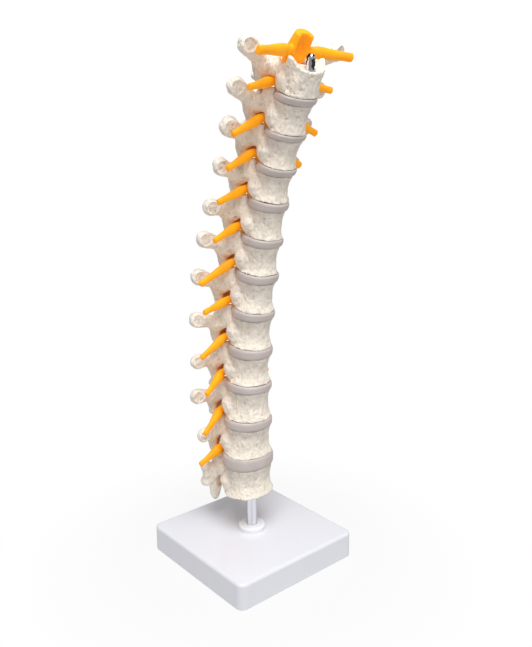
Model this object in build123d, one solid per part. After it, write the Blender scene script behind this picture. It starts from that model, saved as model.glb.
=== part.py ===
from build123d import *
import math
import os

os.makedirs("parts", exist_ok=True)

# Thoracic spine model on a stand. Millimetres.
# The origin is the centre of the base's underside, +X is the spine's own left,
# +Y its back and +Z is up. Levels are counted from the top vertebra down.

# Column: one value for each vertebra, from the first to the twelfth
BODY_HEIGHT = [17.5, 19.0, 18.5, 18.5, 19.5, 20.0, 21.5, 21.5, 20.5, 22.0, 22.0, 22.5]
LEAN = [24.5, 24.0, 22.5, 18.5, 15.0, 12.5, 10.5, 7.5, 5.0, 2.5, 1.5, -1.0]
FACE_LEAN_SHARE = 0.83
WAIST_SHARE = [0.95, 0.87, 0.84, 0.84, 0.83, 0.83, 0.83, 0.84, 0.85, 0.86, 0.87, 0.88]
CANAL_WIDTH = [21.0, 19.5, 18.0, 17.0, 17.0, 17.0, 17.0, 17.5, 18.0, 18.0, 19.5, 22.0]

# Column: one value for each end face or gap, from above the first body to below the twelfth
FACE_WIDTH = [29.0, 27.0, 26.0, 25.0, 25.5, 26.5, 28.0, 29.0, 30.5, 32.0, 35.0, 38.5, 40.0]
FACE_DEPTH = [20.5, 21.5, 22.5, 23.5, 24.5, 26.0, 27.0, 28.0, 29.5, 31.0, 31.5, 32.0, 32.5]

# Discs: one height for each, from the first to the eleventh
DISC_HEIGHT = [5.0, 4.5, 5.5, 6.5, 6.0, 6.5, 6.5, 7.5, 6.5, 7.0, 10.0]
DISC_BULGE = 1.2
DISC_CLEARANCE = 0.2

# Bodies: points of the outline as shares of half its width and depth, the rim's height,
# and the swelling on each back corner where a rib would meet the body
OVAL_FRONT = (0.66, -0.78)
OVAL_SIDE = (1.0, -0.05)
OVAL_BACK = (0.70, 0.80)
RIM_HEIGHT = 2.0
EAR_RADIUS = 6.5
EAR_SIDE_SHARE = 0.66
EAR_BACK_SHARE = 0.4
EAR_RISE = 0.5

# Upper face of the first body: a saddle between two raised lips
TOP_LIP_RISE = 5.3
TOP_LIP_THICKNESS = 2.0
TOP_DISH_TILT = 8.0
TOP_GROOVE_RADIUS = 7.5
TOP_GROOVE_BACK = 8.5
TOP_GROOVE_RISE = 5.0

# Canal behind the bodies
CANAL_DEPTH = 16.0
CANAL_NOTCH = 1.5
CANAL_RUN = 8.0
CANAL_LAST_RUN = 20.0

# Pedicles and laminae
PEDICLE_SPREAD = 2.5
PEDICLE_ROOT_SHARE = 0.3
PEDICLE_ROOT_DEPTH = 8.0
PEDICLE_REACH = 8.8
PEDICLE_RISE = 4.0
PEDICLE_HALF_WIDTH = 3.2
PEDICLE_HALF_HEIGHT = 5.2
LAMINA_THICKNESS = 5.0
LAMINA_SLOPE = 1.0
LAMINA_OVERHANG = 1.0
LAMINA_CLEARANCE = 0.8

# Facet joints between neighbouring arches
FACET_BACK = 2.0
FACET_THICKNESS = 6.5
FACET_CLEARANCE = 0.8
FACET_HALF_WIDTH = 4.3
FACET_HALF_HEIGHT = 6.5
FACET_SPREAD = 11.4
UPPER_FACET_DROP = 4.5
LOWER_FACET_RISE = 5.6

# Transverse processes: root, neck and tip, and where each tip lies from its body's centre
WING_ROOT_SHARE = 0.6
WING_DROP = 2.5
WING_ROOT_SIZE = (4.8, 5.4)
WING_NECK_SHARE = 0.55
WING_NECK_SIZE = (4.2, 4.9)
WING_TIP_SHARES = (0.85, 0.95)
FLANK_SPREAD = 7.0
FLANK_BACK = 2.0
FLANK_SIZE = (3.6, 5.0)
FLANK_FOOT_SPREAD = 11.2
FLANK_FOOT_BACK = 12.0
FLANK_FOOT_SIZE = (1.8, 3.0)
TIP_REACH = [36.5, 34.5, 32.0, 31.0, 31.0, 31.0, 31.0, 31.0, 30.0, 28.0, 25.0]
TIP_BACK = [13.5, 17.5, 17.5, 18.5, 22.0, 24.5, 27.0, 25.5, 24.0, 26.5, 22.5]
TIP_RISE = [15.5, 12.5, 10.5, 8.5, 6.0, 9.0, 8.5, 5.5, 3.0, 2.5, 1.0]
TIP_RADIUS = [6.3, 6.3, 6.8, 6.2, 6.2, 6.2, 6.2, 6.2, 6.0, 6.0, 6.0]
RIB_FACET_RADIUS = 4.2
RIB_FACET_CURVE = 12.0
RIB_FACET_FACING = (0.35, -0.92, 0.1)

# Spinous processes: where each tip lies behind and below its body's centre
SPINE_BACK = [43.5, 42.0, 41.0, 42.0, 42.0, 42.0, 43.0, 44.0, 45.0, 45.0, 45.0, 45.0]
SPINE_DROP = [10.0, 21.0, 23.0, 25.0, 30.0, 31.0, 33.0, 32.0, 28.0, 22.0, 18.0, 15.0]
SPINE_TIP_RADIUS = 3.8
SPINE_CLEARANCE = 0.5
SPINE_ROOT_DEPTH = 1.0
SPINE_ROOT_DROP = 5.4
SPINE_ROOT_SIZE = (3.6, 5.4)
SPINE_MIDDLE_SIZE = (2.6, 4.0)
SPINE_END_SIZE = (2.4, 3.2)

# Knobs and lower processes of the twelfth vertebra
KNOB_RADIUS = 5.0
KNOB_NECK_RADIUS = 4.2
KNOB_ROOT_SIZE = (5.0, 6.5)
KNOB_REACH = 20.5
KNOB_BACK = 27.0
KNOB_RISE = 4.5
KNOB_DROP = 6.5
LEAF_SPREAD = 11.5
LEAF_BACK = 28.0
LEAF_DROP = 25.5
LEAF_MIDDLE_DROP = 15.0
LEAF_TOP_FORWARD = 4.0
LEAF_MIDDLE_FORWARD = 1.0
LEAF_SIZE = (6.4, 3.0)
LEAF_TIP_SIZE = (3.0, 1.8)

# Spinal cord and nerves. Nerve ends are measured from the middle of their gap.
CORD_RADIUS = 4.9
CORD_CLEARANCE = 0.7
STUB_FORWARD = 8.3
STUB_RISE = 17.2
STUB_FOOT_SHARE = 0.3
STUB_FOOT_SIZE = (6.2, 4.9)
STUB_TOP_SIZE = (7.0, 5.2)
HUMP_RADIUS = 6.0
HUMP_FORWARD = 4.6
HUMP_RISE = 6.8
ROOT_RISE = 7.0
EXIT_REACH = 13.0
EXIT_BACK = 1.0
EXIT_DROP = 0.9
NERVE_REACH = [39.0, 35.0, 36.0, 32.0, 34.0, 34.0, 36.0, 34.0, 34.0, 34.0, 34.0, 34.0]
NERVE_BACK = [0.0, 5.0, 8.5, 11.3, 12.0, 10.0, 18.0, 13.5, 14.0, 6.5, 9.0, 15.5]
NERVE_RISE = [7.0, 4.0, -3.0, -3.0, -1.0, -1.0, -8.0, 0.5, -5.0, -3.0, -6.0, -2.0]
ROOT_RADIUS = 2.4
EXIT_RADIUS = 2.5
GANGLION_SHARE = 0.2
GANGLION_RADIUS = 3.6
TAPER_SHARE = 0.44
NECK_SHARE = 0.72
NECK_WIDENING = 0.2
NERVE_END_RADIUS = 2.1
TOP_EXIT_SHARE = 0.22
TOP_GANGLION_RADIUS = 3.8
TOP_NERVE_END_RADIUS = 2.7

# Steel core that carries the bodies, and its cap in the pocket of the first body
CORE_RADIUS = 1.6
CORE_CLEARANCE = 0.15
CORE_FORWARD = 3.6
CORE_STRAIGHT = 2.0
BEND_SHARE = 0.45
POCKET_RADIUS = 3.9
POCKET_DEPTH = 2.0
POCKET_BACK = 0.6
CAP_FORWARD = 5.5
CAP_LEAN = 8.0
CAP_RADIUS = 2.9
CAP_WALL_CLEARANCE = 0.2
CAP_HEIGHT = 9.8
CAP_CORE_DEPTH = 6.0
GROOVE_DEPTH = 0.35
GROOVE_HEIGHT = 1.0
GROOVE_SHARES = (0.2, 0.75)
WASHER_RADIUS = 3.2
WASHER_HEIGHT = 1.0

# Stand rod
ROD_RADIUS = 4.0
ROD_CLEARANCE = 0.1
STAND_GAP = 31.5
COLUMN_BACK = 3.0
ROD_REACH = 14.0
SOCKET_DEPTH = 12.0

# Base and what holds the rod in it
BASE_SIDE = 110.0
BASE_HEIGHT = 20.0
BASE_WALL = 2.5
BASE_CORNER = 5.5
BASE_EDGE = 2.4
BOSS_RADIUS = 9.0
ROD_SEAT = 9.0
SEAT_THICKNESS = 3.0
HEAD_ROOM = 0.5
RIB_THICKNESS = 2.0
RIB_CLEARANCE = 4.0
PLATE_THICKNESS = 2.0
PLATE_CLEARANCE = 0.2
POST_RADIUS = 4.0
POST_INSET = 11.0
COLLAR_RADIUS = 10.4
COLLAR_HEIGHT = 4.3
COLLAR_EDGE = 1.5

# Screws
SCREW_RADIUS = 2.4
SCREW_LENGTH = 14.0
SCREW_HEAD_RADIUS = 4.3
SCREW_HEAD_HEIGHT = 2.4
SCREW_CLEARANCE = 0.1
STAND_WASHER_RADIUS = 5.0
STAND_WASHER_HEIGHT = 1.0
PLATE_SCREW_RADIUS = 1.4
PLATE_SCREW_LENGTH = 9.0
PLATE_SCREW_ROOM = 1.0
PLATE_HEAD_RADIUS = 2.6
PLATE_HEAD_HEIGHT = 1.3

LEVELS = len(BODY_HEIGHT)
LAST = LEVELS - 1
FAR = 60.0


# Frames along the column

def upward(lean):
    """The direction that leans forward by so many degrees."""
    turn = math.radians(lean)
    return Vector(0, -math.sin(turn), math.cos(turn))


def tilted(origin, lean):
    """A plane across the column whose normal leans forward."""
    return Plane(origin=origin, x_dir=(1, 0, 0), z_dir=upward(lean))


def body_centres():
    """The middle of every body, stacked from the stand rod upwards."""
    centres = []
    point = Vector(0, COLUMN_BACK, BASE_HEIGHT + STAND_GAP)
    for level in reversed(range(LEVELS)):
        step = upward(LEAN[level]) * (BODY_HEIGHT[level] / 2)
        centres.insert(0, point + step)
        point = point + step * 2
        if level > 0:
            between = (LEAN[level] + LEAN[level - 1]) / 2
            point = point + upward(between) * DISC_HEIGHT[level - 1]
    return centres


CENTRES = body_centres()


def body_plane(level):
    """The plane through the middle of a body."""
    return tilted(CENTRES[level], LEAN[level] * FACE_LEAN_SHARE)


def face_plane(level, side):
    """The plane of a body's end face, above (side 1) or below (side -1)."""
    return body_plane(level).offset(side * BODY_HEIGHT[level] / 2)


def gap_plane(gap):
    """The plane halfway between two bodies, or the outer face at either end."""
    if gap == 0:
        return face_plane(0, 1)
    if gap == LEVELS:
        return face_plane(LAST, -1)
    middle = (face_plane(gap - 1, -1).origin + face_plane(gap, 1).origin) / 2
    lean = (LEAN[gap - 1] + LEAN[gap]) / 2
    return tilted(middle, lean * FACE_LEAN_SHARE)


def canal_front(gap):
    """How far behind the column's centre line the canal begins at a gap."""
    return FACE_DEPTH[gap] / 2 - CANAL_NOTCH


def body_canal_front(level):
    """The same at the middle of a body."""
    return (canal_front(level) + canal_front(level + 1)) / 2


# Shapes

def both_sides(shape):
    """A piece of the right side with its mirror image."""
    return [shape, mirror(shape, about=Plane.YZ)]


def oval(plane, width, depth):
    """A body's outline: round in front, flatter behind."""
    half = depth / 2
    shares = (OVAL_FRONT, OVAL_SIDE, OVAL_BACK)
    right = [(across * width / 2, back * half) for across, back in shares]
    left = [(-x, y) for x, y in reversed(right)]
    points = [(0, -half)] + right + [(0, half)] + left
    return plane * make_face(Spline(*points, periodic=True))


def limb(plane, stations, ruled=False):
    """A lofted arm of oval sections, each (x, y, z, half width, half height), straight between
    them where it is ruled."""
    points = [Vector(*station[:3]) for station in stations]
    sections = []
    for index, station in enumerate(stations):
        before = points[max(index - 1, 0)]
        after = points[min(index + 1, len(points) - 1)]
        along = (after - before).normalized()
        across = Vector(0, 0, 1).cross(along)
        section = Plane(origin=points[index], x_dir=across, z_dir=along)
        sections.append(plane * (section * Ellipse(station[3], station[4])))
    return loft(sections, ruled=ruled)


def ball(plane, x, y, z, radius):
    """A sphere at a point of a plane's own frame."""
    return plane * (Pos(x, y, z) * Sphere(radius))


def between_points(start, end, share):
    """The point at a share of the way from one to the other."""
    return tuple(a + (b - a) * share for a, b in zip(start, end))


def bent_path(points):
    """Straight runs joined by arcs as large as the runs allow."""
    radii = []
    for before, corner, after in zip(points, points[1:], points[2:]):
        incoming = corner - before
        outgoing = after - corner
        turn = math.radians(incoming.get_angle(outgoing))
        run = min(incoming.length, outgoing.length)
        radii.append(BEND_SHARE * run / math.tan(turn / 2))
    return FilletPolyline(*points, radius=radii)


def round_bar(path, radius):
    """A round bar along a path."""
    return sweep(Plane(path @ 0, z_dir=path % 0) * Circle(radius), path=path)


def along_gaps(back, first, last):
    """Points at every gap from the last up to the first, each so far back."""
    points = []
    for gap in range(last, first - 1, -1):
        points.append(gap_plane(gap).from_local_coords(Vector(0, back(gap), 0)))
    return points


def cap_seat():
    """The plane of the pocket's floor, where the cap stands almost upright."""
    middle = gap_plane(0).from_local_coords(Vector(0, -CAP_FORWARD, -POCKET_DEPTH))
    return tilted(middle, CAP_LEAN)


def core_path():
    """The steel core's line, ahead of the column's centre line, straight at both ends."""
    foot = Vector(0, 0, BASE_HEIGHT + STAND_GAP + ROD_REACH - SOCKET_DEPTH)
    bend = Vector(0, 0, BASE_HEIGHT + STAND_GAP + BODY_HEIGHT[LAST])
    up_to_top = along_gaps(lambda gap: -CORE_FORWARD, 1, LAST)
    under = cap_seat().offset(-CORE_STRAIGHT).origin
    tip = cap_seat().offset(WASHER_HEIGHT + CAP_CORE_DEPTH - CAP_WALL_CLEARANCE).origin
    return bent_path([foot, bend] + up_to_top[1:] + [under, tip])


CORE_PATH = core_path()


def core_hole():
    """The passage that the core needs through bodies and discs."""
    return round_bar(CORE_PATH, CORE_RADIUS + CORE_CLEARANCE)


CORE_HOLE = core_hole()


# Vertebrae

def drum(level, top):
    """The drum of a vertebra up to a height, drawn in at its waist."""
    height = BODY_HEIGHT[level]
    upper = (FACE_WIDTH[level], FACE_DEPTH[level])
    lower = (FACE_WIDTH[level + 1], FACE_DEPTH[level + 1])
    waist = [(a + b) / 2 * WAIST_SHARE[level] for a, b in zip(upper, lower)]
    plane = body_plane(level)
    sections = [
        oval(plane.offset(-height / 2), *lower),
        oval(plane.offset(-height / 2 + RIM_HEIGHT), *lower),
        oval(plane, *waist),
        oval(plane.offset(top - RIM_HEIGHT), *upper),
        oval(plane.offset(top), *upper),
    ]
    return loft(sections)


def body(level):
    """The body of a vertebra. The first one rises to two lips beside a saddle."""
    if level > 0:
        return drum(level, BODY_HEIGHT[level] / 2)
    return drum(0, BODY_HEIGHT[0] / 2 + TOP_LIP_RISE) - top_dish() - top_groove()


def ear(level):
    """The swelling on a body's back corner, where a rib would meet it."""
    side = EAR_SIDE_SHARE * FACE_WIDTH[level + 1] / 2
    back = EAR_BACK_SHARE * FACE_DEPTH[level + 1] / 2
    return ball(body_plane(level), side, back, EAR_RISE, EAR_RADIUS)


def pedicle(level):
    """The short bar from the body's back to the arch."""
    front = body_canal_front(level)
    spread = CANAL_WIDTH[level] / 2 + PEDICLE_SPREAD
    inside = PEDICLE_ROOT_SHARE * (FACE_WIDTH[level] + FACE_WIDTH[level + 1]) / 2
    size = (PEDICLE_HALF_WIDTH, PEDICLE_HALF_HEIGHT)
    start = (inside, front - PEDICLE_ROOT_DEPTH, PEDICLE_RISE, *size)
    end = (spread, front + PEDICLE_REACH, PEDICLE_RISE, *size)
    return limb(body_plane(level), [start, end])


def arch_outline(plane, front, back, half_width):
    """Half an oval behind a straight front, across the arch."""
    depth = back - front
    half = Ellipse(half_width, depth) & (Pos(0, depth / 2) * Rectangle(2 * half_width, depth))
    return plane * (Pos(0, front) * half)


def lamina(level):
    """The roof of the canal, from the pedicles down over the gap below."""
    half_width = CANAL_WIDTH[level] / 2 + LAMINA_THICKNESS
    top_front = canal_front(level) + CANAL_DEPTH / 2
    top_back = canal_front(level) + CANAL_DEPTH + LAMINA_THICKNESS - LAMINA_SLOPE
    low_front = canal_front(level + 1) + FACET_BACK + FACET_THICKNESS + FACET_CLEARANCE
    low_back = canal_front(level + 1) + CANAL_DEPTH + LAMINA_THICKNESS + LAMINA_SLOPE
    top_plane = gap_plane(level).offset(-LAMINA_OVERHANG - LAMINA_CLEARANCE)
    top = arch_outline(top_plane, top_front, top_back, half_width)
    low_plane = gap_plane(level + 1).offset(-LAMINA_OVERHANG)
    low = arch_outline(low_plane, low_front, low_back, half_width)
    return loft([low, top], ruled=True)


def facet_plate(gap, front, rise):
    """A flat oval plate that faces its neighbour across a facet joint."""
    plane = gap_plane(gap)
    across = Plane(origin=(FACET_SPREAD, front, rise), x_dir=(1, 0, 0), z_dir=(0, 1, 0))
    outline = across * Ellipse(FACET_HALF_WIDTH, FACET_HALF_HEIGHT)
    return plane * extrude(outline, FACET_THICKNESS)


def upper_facet(level):
    """The plate that rises in front of the vertebra above."""
    return facet_plate(level, canal_front(level) + FACET_BACK, -UPPER_FACET_DROP)


def lower_facet(level):
    """The plate that hangs behind the vertebra below."""
    gap = level + 1
    front = canal_front(gap) + FACET_BACK + FACET_THICKNESS + FACET_CLEARANCE
    return facet_plate(gap, front, LOWER_FACET_RISE)


def wing_root(level):
    """Where a transverse process leaves the arch."""
    spread = CANAL_WIDTH[level] / 2 + PEDICLE_SPREAD
    back = body_canal_front(level) + CANAL_DEPTH * WING_ROOT_SHARE
    return (spread, back, PEDICLE_RISE - WING_DROP)


def wing(level):
    """A transverse process with its round tip."""
    plane = body_plane(level)
    root = wing_root(level)
    tip = (TIP_REACH[level], TIP_BACK[level], TIP_RISE[level])
    radius = TIP_RADIUS[level]
    neck = between_points(root, tip, WING_NECK_SHARE)
    tip_size = [share * radius for share in WING_TIP_SHARES]
    arm = limb(plane, [(*root, *WING_ROOT_SIZE), (*neck, *WING_NECK_SIZE), (*tip, *tip_size)])
    return arm + ball(plane, *tip, radius)


def flank(level):
    """The web from a transverse process down to the lower facet plate."""
    plane = body_plane(level)
    spread, back, rise = wing_root(level)
    below = canal_front(level + 1) + FLANK_FOOT_BACK
    foot = gap_plane(level + 1).from_local_coords(Vector(FLANK_FOOT_SPREAD, below, 0))
    foot = plane.to_local_coords(foot)
    start = (spread + FLANK_SPREAD, back + FLANK_BACK, rise, *FLANK_SIZE)
    return limb(plane, [start, (*foot, *FLANK_FOOT_SIZE)])


def rib_facet(level):
    """The shallow hollow for a rib, cut into the tip's front."""
    radius = TIP_RADIUS[level]
    rim = math.sqrt(radius**2 - RIB_FACET_RADIUS**2)
    distance = rim + math.sqrt(RIB_FACET_CURVE**2 - RIB_FACET_RADIUS**2)
    facing = Vector(*RIB_FACET_FACING).normalized() * distance
    centre = Vector(TIP_REACH[level], TIP_BACK[level], TIP_RISE[level]) + facing
    return ball(body_plane(level), *centre, RIB_FACET_CURVE)


def blade(level, clearance=0.0):
    """The blade that points back and down from the arch, or the room that it needs."""
    root = (0, body_canal_front(level) + CANAL_DEPTH + SPINE_ROOT_DEPTH, -SPINE_ROOT_DROP)
    tip = (0, SPINE_BACK[level], -SPINE_DROP[level])
    places = (root, between_points(root, tip, 0.5), tip)
    sizes = (SPINE_ROOT_SIZE, SPINE_MIDDLE_SIZE, SPINE_END_SIZE)
    stations = []
    for place, (wide, tall) in zip(places, sizes):
        stations.append((*place, wide + clearance, tall + clearance))
    return limb(body_plane(level), stations)


def spinous_process(level):
    """The blade with its rounded tip."""
    tip = (0, SPINE_BACK[level], -SPINE_DROP[level])
    return blade(level) + ball(body_plane(level), *tip, SPINE_TIP_RADIUS)


def knobs():
    """The low knobs that stand for the last vertebra's transverse processes."""
    plane = body_plane(LAST)
    root = wing_root(LAST)
    high = (KNOB_REACH, KNOB_BACK, KNOB_RISE)
    low = (KNOB_REACH, KNOB_BACK, -KNOB_DROP)
    pieces = []
    for tip in (high, low):
        neck_end = (*tip, KNOB_NECK_RADIUS, KNOB_NECK_RADIUS)
        pieces.append(limb(plane, [(*root, *KNOB_ROOT_SIZE), neck_end]))
        pieces.append(ball(plane, *tip, KNOB_RADIUS))
    return pieces


def leaf():
    """The leaf-shaped lower process of the last vertebra."""
    top = (LEAF_SPREAD, LEAF_BACK - LEAF_TOP_FORWARD, 0, *LEAF_SIZE)
    middle = (LEAF_SPREAD, LEAF_BACK - LEAF_MIDDLE_FORWARD, -LEAF_MIDDLE_DROP, *LEAF_SIZE)
    tip = (LEAF_SPREAD, LEAF_BACK, -LEAF_DROP, *LEAF_TIP_SIZE)
    return limb(body_plane(LAST), [top, middle, tip])


def canal_section(gap, width, offset):
    """The canal's oval outline at a gap, or a little above or below it."""
    middle = canal_front(gap) + CANAL_DEPTH / 2
    return gap_plane(gap).offset(offset) * (Pos(0, middle) * Ellipse(width / 2, CANAL_DEPTH / 2))


def canal(level):
    """The passage for the cord behind a body, from gap to gap and past them."""
    width = CANAL_WIDTH[level]
    below = CANAL_RUN if level < LAST else CANAL_LAST_RUN
    sections = [
        canal_section(level + 1, width, -below),
        canal_section(level + 1, width, 0),
        canal_section(level, width, 0),
        canal_section(level, width, CANAL_RUN),
    ]
    return loft(sections, ruled=True)


def top_dish():
    """The saddle of the first body's upper face, sloping down to the front."""
    half_width = FACE_WIDTH[0] / 2 - TOP_LIP_THICKNESS
    radius = (half_width**2 + TOP_LIP_RISE**2) / (2 * TOP_LIP_RISE)
    turned = Rot(90 + TOP_DISH_TILT, 0, 0) * (Pos(0, radius, 0) * Cylinder(radius, FAR))
    return gap_plane(0) * turned


def top_groove():
    """The room behind the lips for the first pair of nerves."""
    turned = Rot(0, 90, 0) * Cylinder(TOP_GROOVE_RADIUS, FAR)
    return gap_plane(0) * (Pos(0, TOP_GROOVE_BACK, TOP_GROOVE_RISE) * turned)


def pocket():
    """The round pocket with a flat floor that holds the core's cap."""
    return cap_seat() * (Pos(0, POCKET_BACK, 0) * extrude(Circle(POCKET_RADIUS), FAR / 2))


def rod_hole():
    """The socket for the stand rod in the last body."""
    start = BASE_HEIGHT + STAND_GAP - FAR / 2
    length = ROD_REACH + FAR / 2
    return Pos(0, 0, start + length / 2) * Cylinder(ROD_RADIUS + ROD_CLEARANCE, length)


def vertebra(level):
    """A whole vertebra, moulded as one piece."""
    pieces = [body(level), lamina(level), spinous_process(level)]
    pieces += both_sides(pedicle(level))
    pieces += both_sides(upper_facet(level))
    cuts = [canal(level), CORE_HOLE]
    if level > 0:
        cuts.append(blade(level - 1, SPINE_CLEARANCE))
    if level < LAST:
        pieces += both_sides(ear(level))
        pieces += both_sides(flank(level))
        pieces += both_sides(lower_facet(level))
        pieces += both_sides(wing(level))
        cuts += both_sides(rib_facet(level))
    else:
        pieces += both_sides(leaf())
        for knob in knobs():
            pieces += both_sides(knob)
        cuts.append(rod_hole())
    if level == 0:
        cuts.append(pocket())
    return Part() + pieces - cuts


# Discs

def disc(gap):
    """A disc between two bodies, bulging a little past their rims."""
    width = FACE_WIDTH[gap]
    depth = FACE_DEPTH[gap]
    below = face_plane(gap, 1).offset(DISC_CLEARANCE)
    above = face_plane(gap - 1, -1).offset(-DISC_CLEARANCE)
    middle = gap_plane(gap)
    sections = [
        oval(below, width, depth),
        oval(middle, width + 2 * DISC_BULGE, depth + 2 * DISC_BULGE),
        oval(above, width, depth),
    ]
    passage = extrude(canal_section(gap, CANAL_WIDTH[gap], 0), FAR, both=True)
    return loft(sections) - passage - CORE_HOLE


# Spinal cord and nerves

def cord_back(gap):
    """How far back the cord's centre lies at a gap."""
    return canal_front(gap) + CORD_CLEARANCE + CORD_RADIUS


def cord():
    """The cord along the canal, with its stub above the first vertebra."""
    points = along_gaps(cord_back, 0, LEVELS)
    top = Vector(0, cord_back(0) - STUB_FORWARD, STUB_RISE)
    points.append(gap_plane(0).from_local_coords(top))
    return round_bar(bent_path(points), CORD_RADIUS)


def stub():
    """The cord's open end above the first vertebra, wider towards its flat top."""
    top = (0, cord_back(0) - STUB_FORWARD, STUB_RISE)
    foot = between_points((0, cord_back(0), 0), top, STUB_FOOT_SHARE)
    along = (Vector(*top) - Vector(*foot)).normalized()
    low = Plane(origin=foot, x_dir=(1, 0, 0), z_dir=along) * Ellipse(*STUB_FOOT_SIZE)
    high = Plane(origin=top, x_dir=(1, 0, 0), z_dir=along) * Ellipse(*STUB_TOP_SIZE)
    return gap_plane(0) * loft([low, high])


def nerve(gap):
    """A nerve from the cord out through its opening, thick at its ganglion."""
    plane = gap_plane(gap)
    end = (NERVE_REACH[gap], NERVE_BACK[gap], NERVE_RISE[gap])
    ganglion = GANGLION_RADIUS
    end_radius = NERVE_END_RADIUS
    exit_point = (EXIT_REACH, canal_front(gap) + CANAL_NOTCH + EXIT_BACK, ROOT_RISE - EXIT_DROP)
    root = (0, cord_back(gap), ROOT_RISE)
    if gap == 0:
        ganglion = TOP_GANGLION_RADIUS
        end_radius = TOP_NERVE_END_RADIUS
        root = (0, cord_back(0) - HUMP_FORWARD, HUMP_RISE)
        exit_point = between_points(root, end, TOP_EXIT_SHARE)
    shares = (GANGLION_SHARE, TAPER_SHARE, NECK_SHARE)
    neck_radius = end_radius + NECK_WIDENING
    taper_radius = (ganglion + neck_radius) / 2
    places = [root, exit_point] + [between_points(exit_point, end, share) for share in shares] + [end]
    radii = [ROOT_RADIUS, EXIT_RADIUS, ganglion, taper_radius, neck_radius, end_radius]
    stations = [(*place, radius, radius) for place, radius in zip(places, radii)]
    return limb(plane, stations, ruled=True)


def cord_with_nerves():
    """The cord and its nerve pairs, moulded as one soft piece."""
    hump = ball(gap_plane(0), 0, cord_back(0) - HUMP_FORWARD, HUMP_RISE, HUMP_RADIUS)
    pieces = [cord(), stub(), hump]
    for gap in range(LEVELS):
        pieces += both_sides(nerve(gap))
    return Part() + pieces


# Core, cap and stand rod

def core_rod():
    """The bent steel core."""
    return round_bar(CORE_PATH, CORE_RADIUS)


def core_washer():
    """The washer under the cap."""
    ring = Circle(WASHER_RADIUS) - Circle(CORE_RADIUS + CAP_WALL_CLEARANCE)
    return cap_seat() * extrude(ring, WASHER_HEIGHT)


def core_cap():
    """The domed cap on the core's top end, with two turned grooves."""
    straight = CAP_HEIGHT - CAP_RADIUS
    body_part = Pos(0, 0, straight / 2) * Cylinder(CAP_RADIUS, straight)
    dome = Pos(0, 0, straight) * Sphere(CAP_RADIUS)
    cap = body_part + dome
    for share in GROOVE_SHARES:
        band = Circle(2 * CAP_RADIUS) - Circle(CAP_RADIUS - GROOVE_DEPTH)
        cap -= Pos(0, 0, straight * share) * extrude(band, GROOVE_HEIGHT)
    bore_radius = CORE_RADIUS + CAP_WALL_CLEARANCE
    cap -= Pos(0, 0, CAP_CORE_DEPTH / 2) * Cylinder(bore_radius, CAP_CORE_DEPTH)
    return cap_seat() * (Pos(0, 0, WASHER_HEIGHT) * cap)


def stand_rod():
    """The polished rod between the base and the last body."""
    top = BASE_HEIGHT + STAND_GAP + ROD_REACH
    length = top - ROD_SEAT
    rod = Pos(0, 0, ROD_SEAT + length / 2) * Cylinder(ROD_RADIUS, length)
    socket_radius = CORE_RADIUS + CORE_CLEARANCE
    socket = Pos(0, 0, top - SOCKET_DEPTH / 2) * Cylinder(socket_radius, SOCKET_DEPTH)
    thread_radius = SCREW_RADIUS + SCREW_CLEARANCE
    thread = Pos(0, 0, ROD_SEAT + SCREW_LENGTH / 2) * Cylinder(thread_radius, SCREW_LENGTH)
    return rod - socket - thread


# Base

def post_places():
    """The four corner posts that take the plate's screws."""
    reach = BASE_SIDE / 2 - POST_INSET
    return [(x, y) for x in (-reach, reach) for y in (-reach, reach)]


def post_base():
    """The height at which posts, boss and ribs meet the bottom plate."""
    return PLATE_THICKNESS + PLATE_CLEARANCE


def base_block():
    """The outside of the base, with round corners and a soft upper edge."""
    block = extrude(RectangleRounded(BASE_SIDE, BASE_SIDE, BASE_CORNER), BASE_HEIGHT)
    return fillet(block.faces().sort_by(Axis.Z)[-1].edges(), BASE_EDGE)


def base_shell():
    """The moulded base: a hollow shell with ribs, corner posts and a centre boss."""
    room = BASE_SIDE - 2 * BASE_WALL
    ceiling = BASE_HEIGHT - BASE_WALL
    low = post_base()
    shell = base_block() - extrude(Rectangle(room, room), ceiling)
    inside = Pos(0, 0, low) * extrude(Circle(BOSS_RADIUS), ceiling - low)
    stiffeners = [inside]
    rib_low = low + RIB_CLEARANCE
    for size in ((room, RIB_THICKNESS), (RIB_THICKNESS, room)):
        stiffeners.append(Pos(0, 0, rib_low) * extrude(Rectangle(*size), ceiling - rib_low))
    for place in post_places():
        stiffeners.append(Pos(*place, low) * extrude(Circle(POST_RADIUS), ceiling - low))
    shell = shell + stiffeners
    cuts = [Pos(0, 0, ROD_SEAT) * extrude(Circle(ROD_RADIUS + ROD_CLEARANCE), BASE_HEIGHT)]
    cuts.append(extrude(Circle(SCREW_RADIUS + SCREW_CLEARANCE), BASE_HEIGHT))
    cuts.append(extrude(Circle(STAND_WASHER_RADIUS + HEAD_ROOM), ROD_SEAT - SEAT_THICKNESS))
    hole_depth = PLATE_SCREW_LENGTH + PLATE_SCREW_ROOM
    for place in post_places():
        hole = extrude(Circle(PLATE_SCREW_RADIUS + SCREW_CLEARANCE), hole_depth)
        cuts.append(Pos(*place) * hole)
    return shell - cuts


def base_plate():
    """The flat plate that closes the base from below."""
    side = BASE_SIDE - 2 * BASE_WALL - 2 * PLATE_CLEARANCE
    plate = extrude(Rectangle(side, side), PLATE_THICKNESS)
    for place in post_places():
        head = extrude(Circle(PLATE_HEAD_RADIUS + SCREW_CLEARANCE), PLATE_HEAD_HEIGHT)
        hole = extrude(Circle(PLATE_SCREW_RADIUS + SCREW_CLEARANCE), PLATE_THICKNESS)
        plate -= Pos(*place) * head
        plate -= Pos(*place) * hole
    return plate


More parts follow.
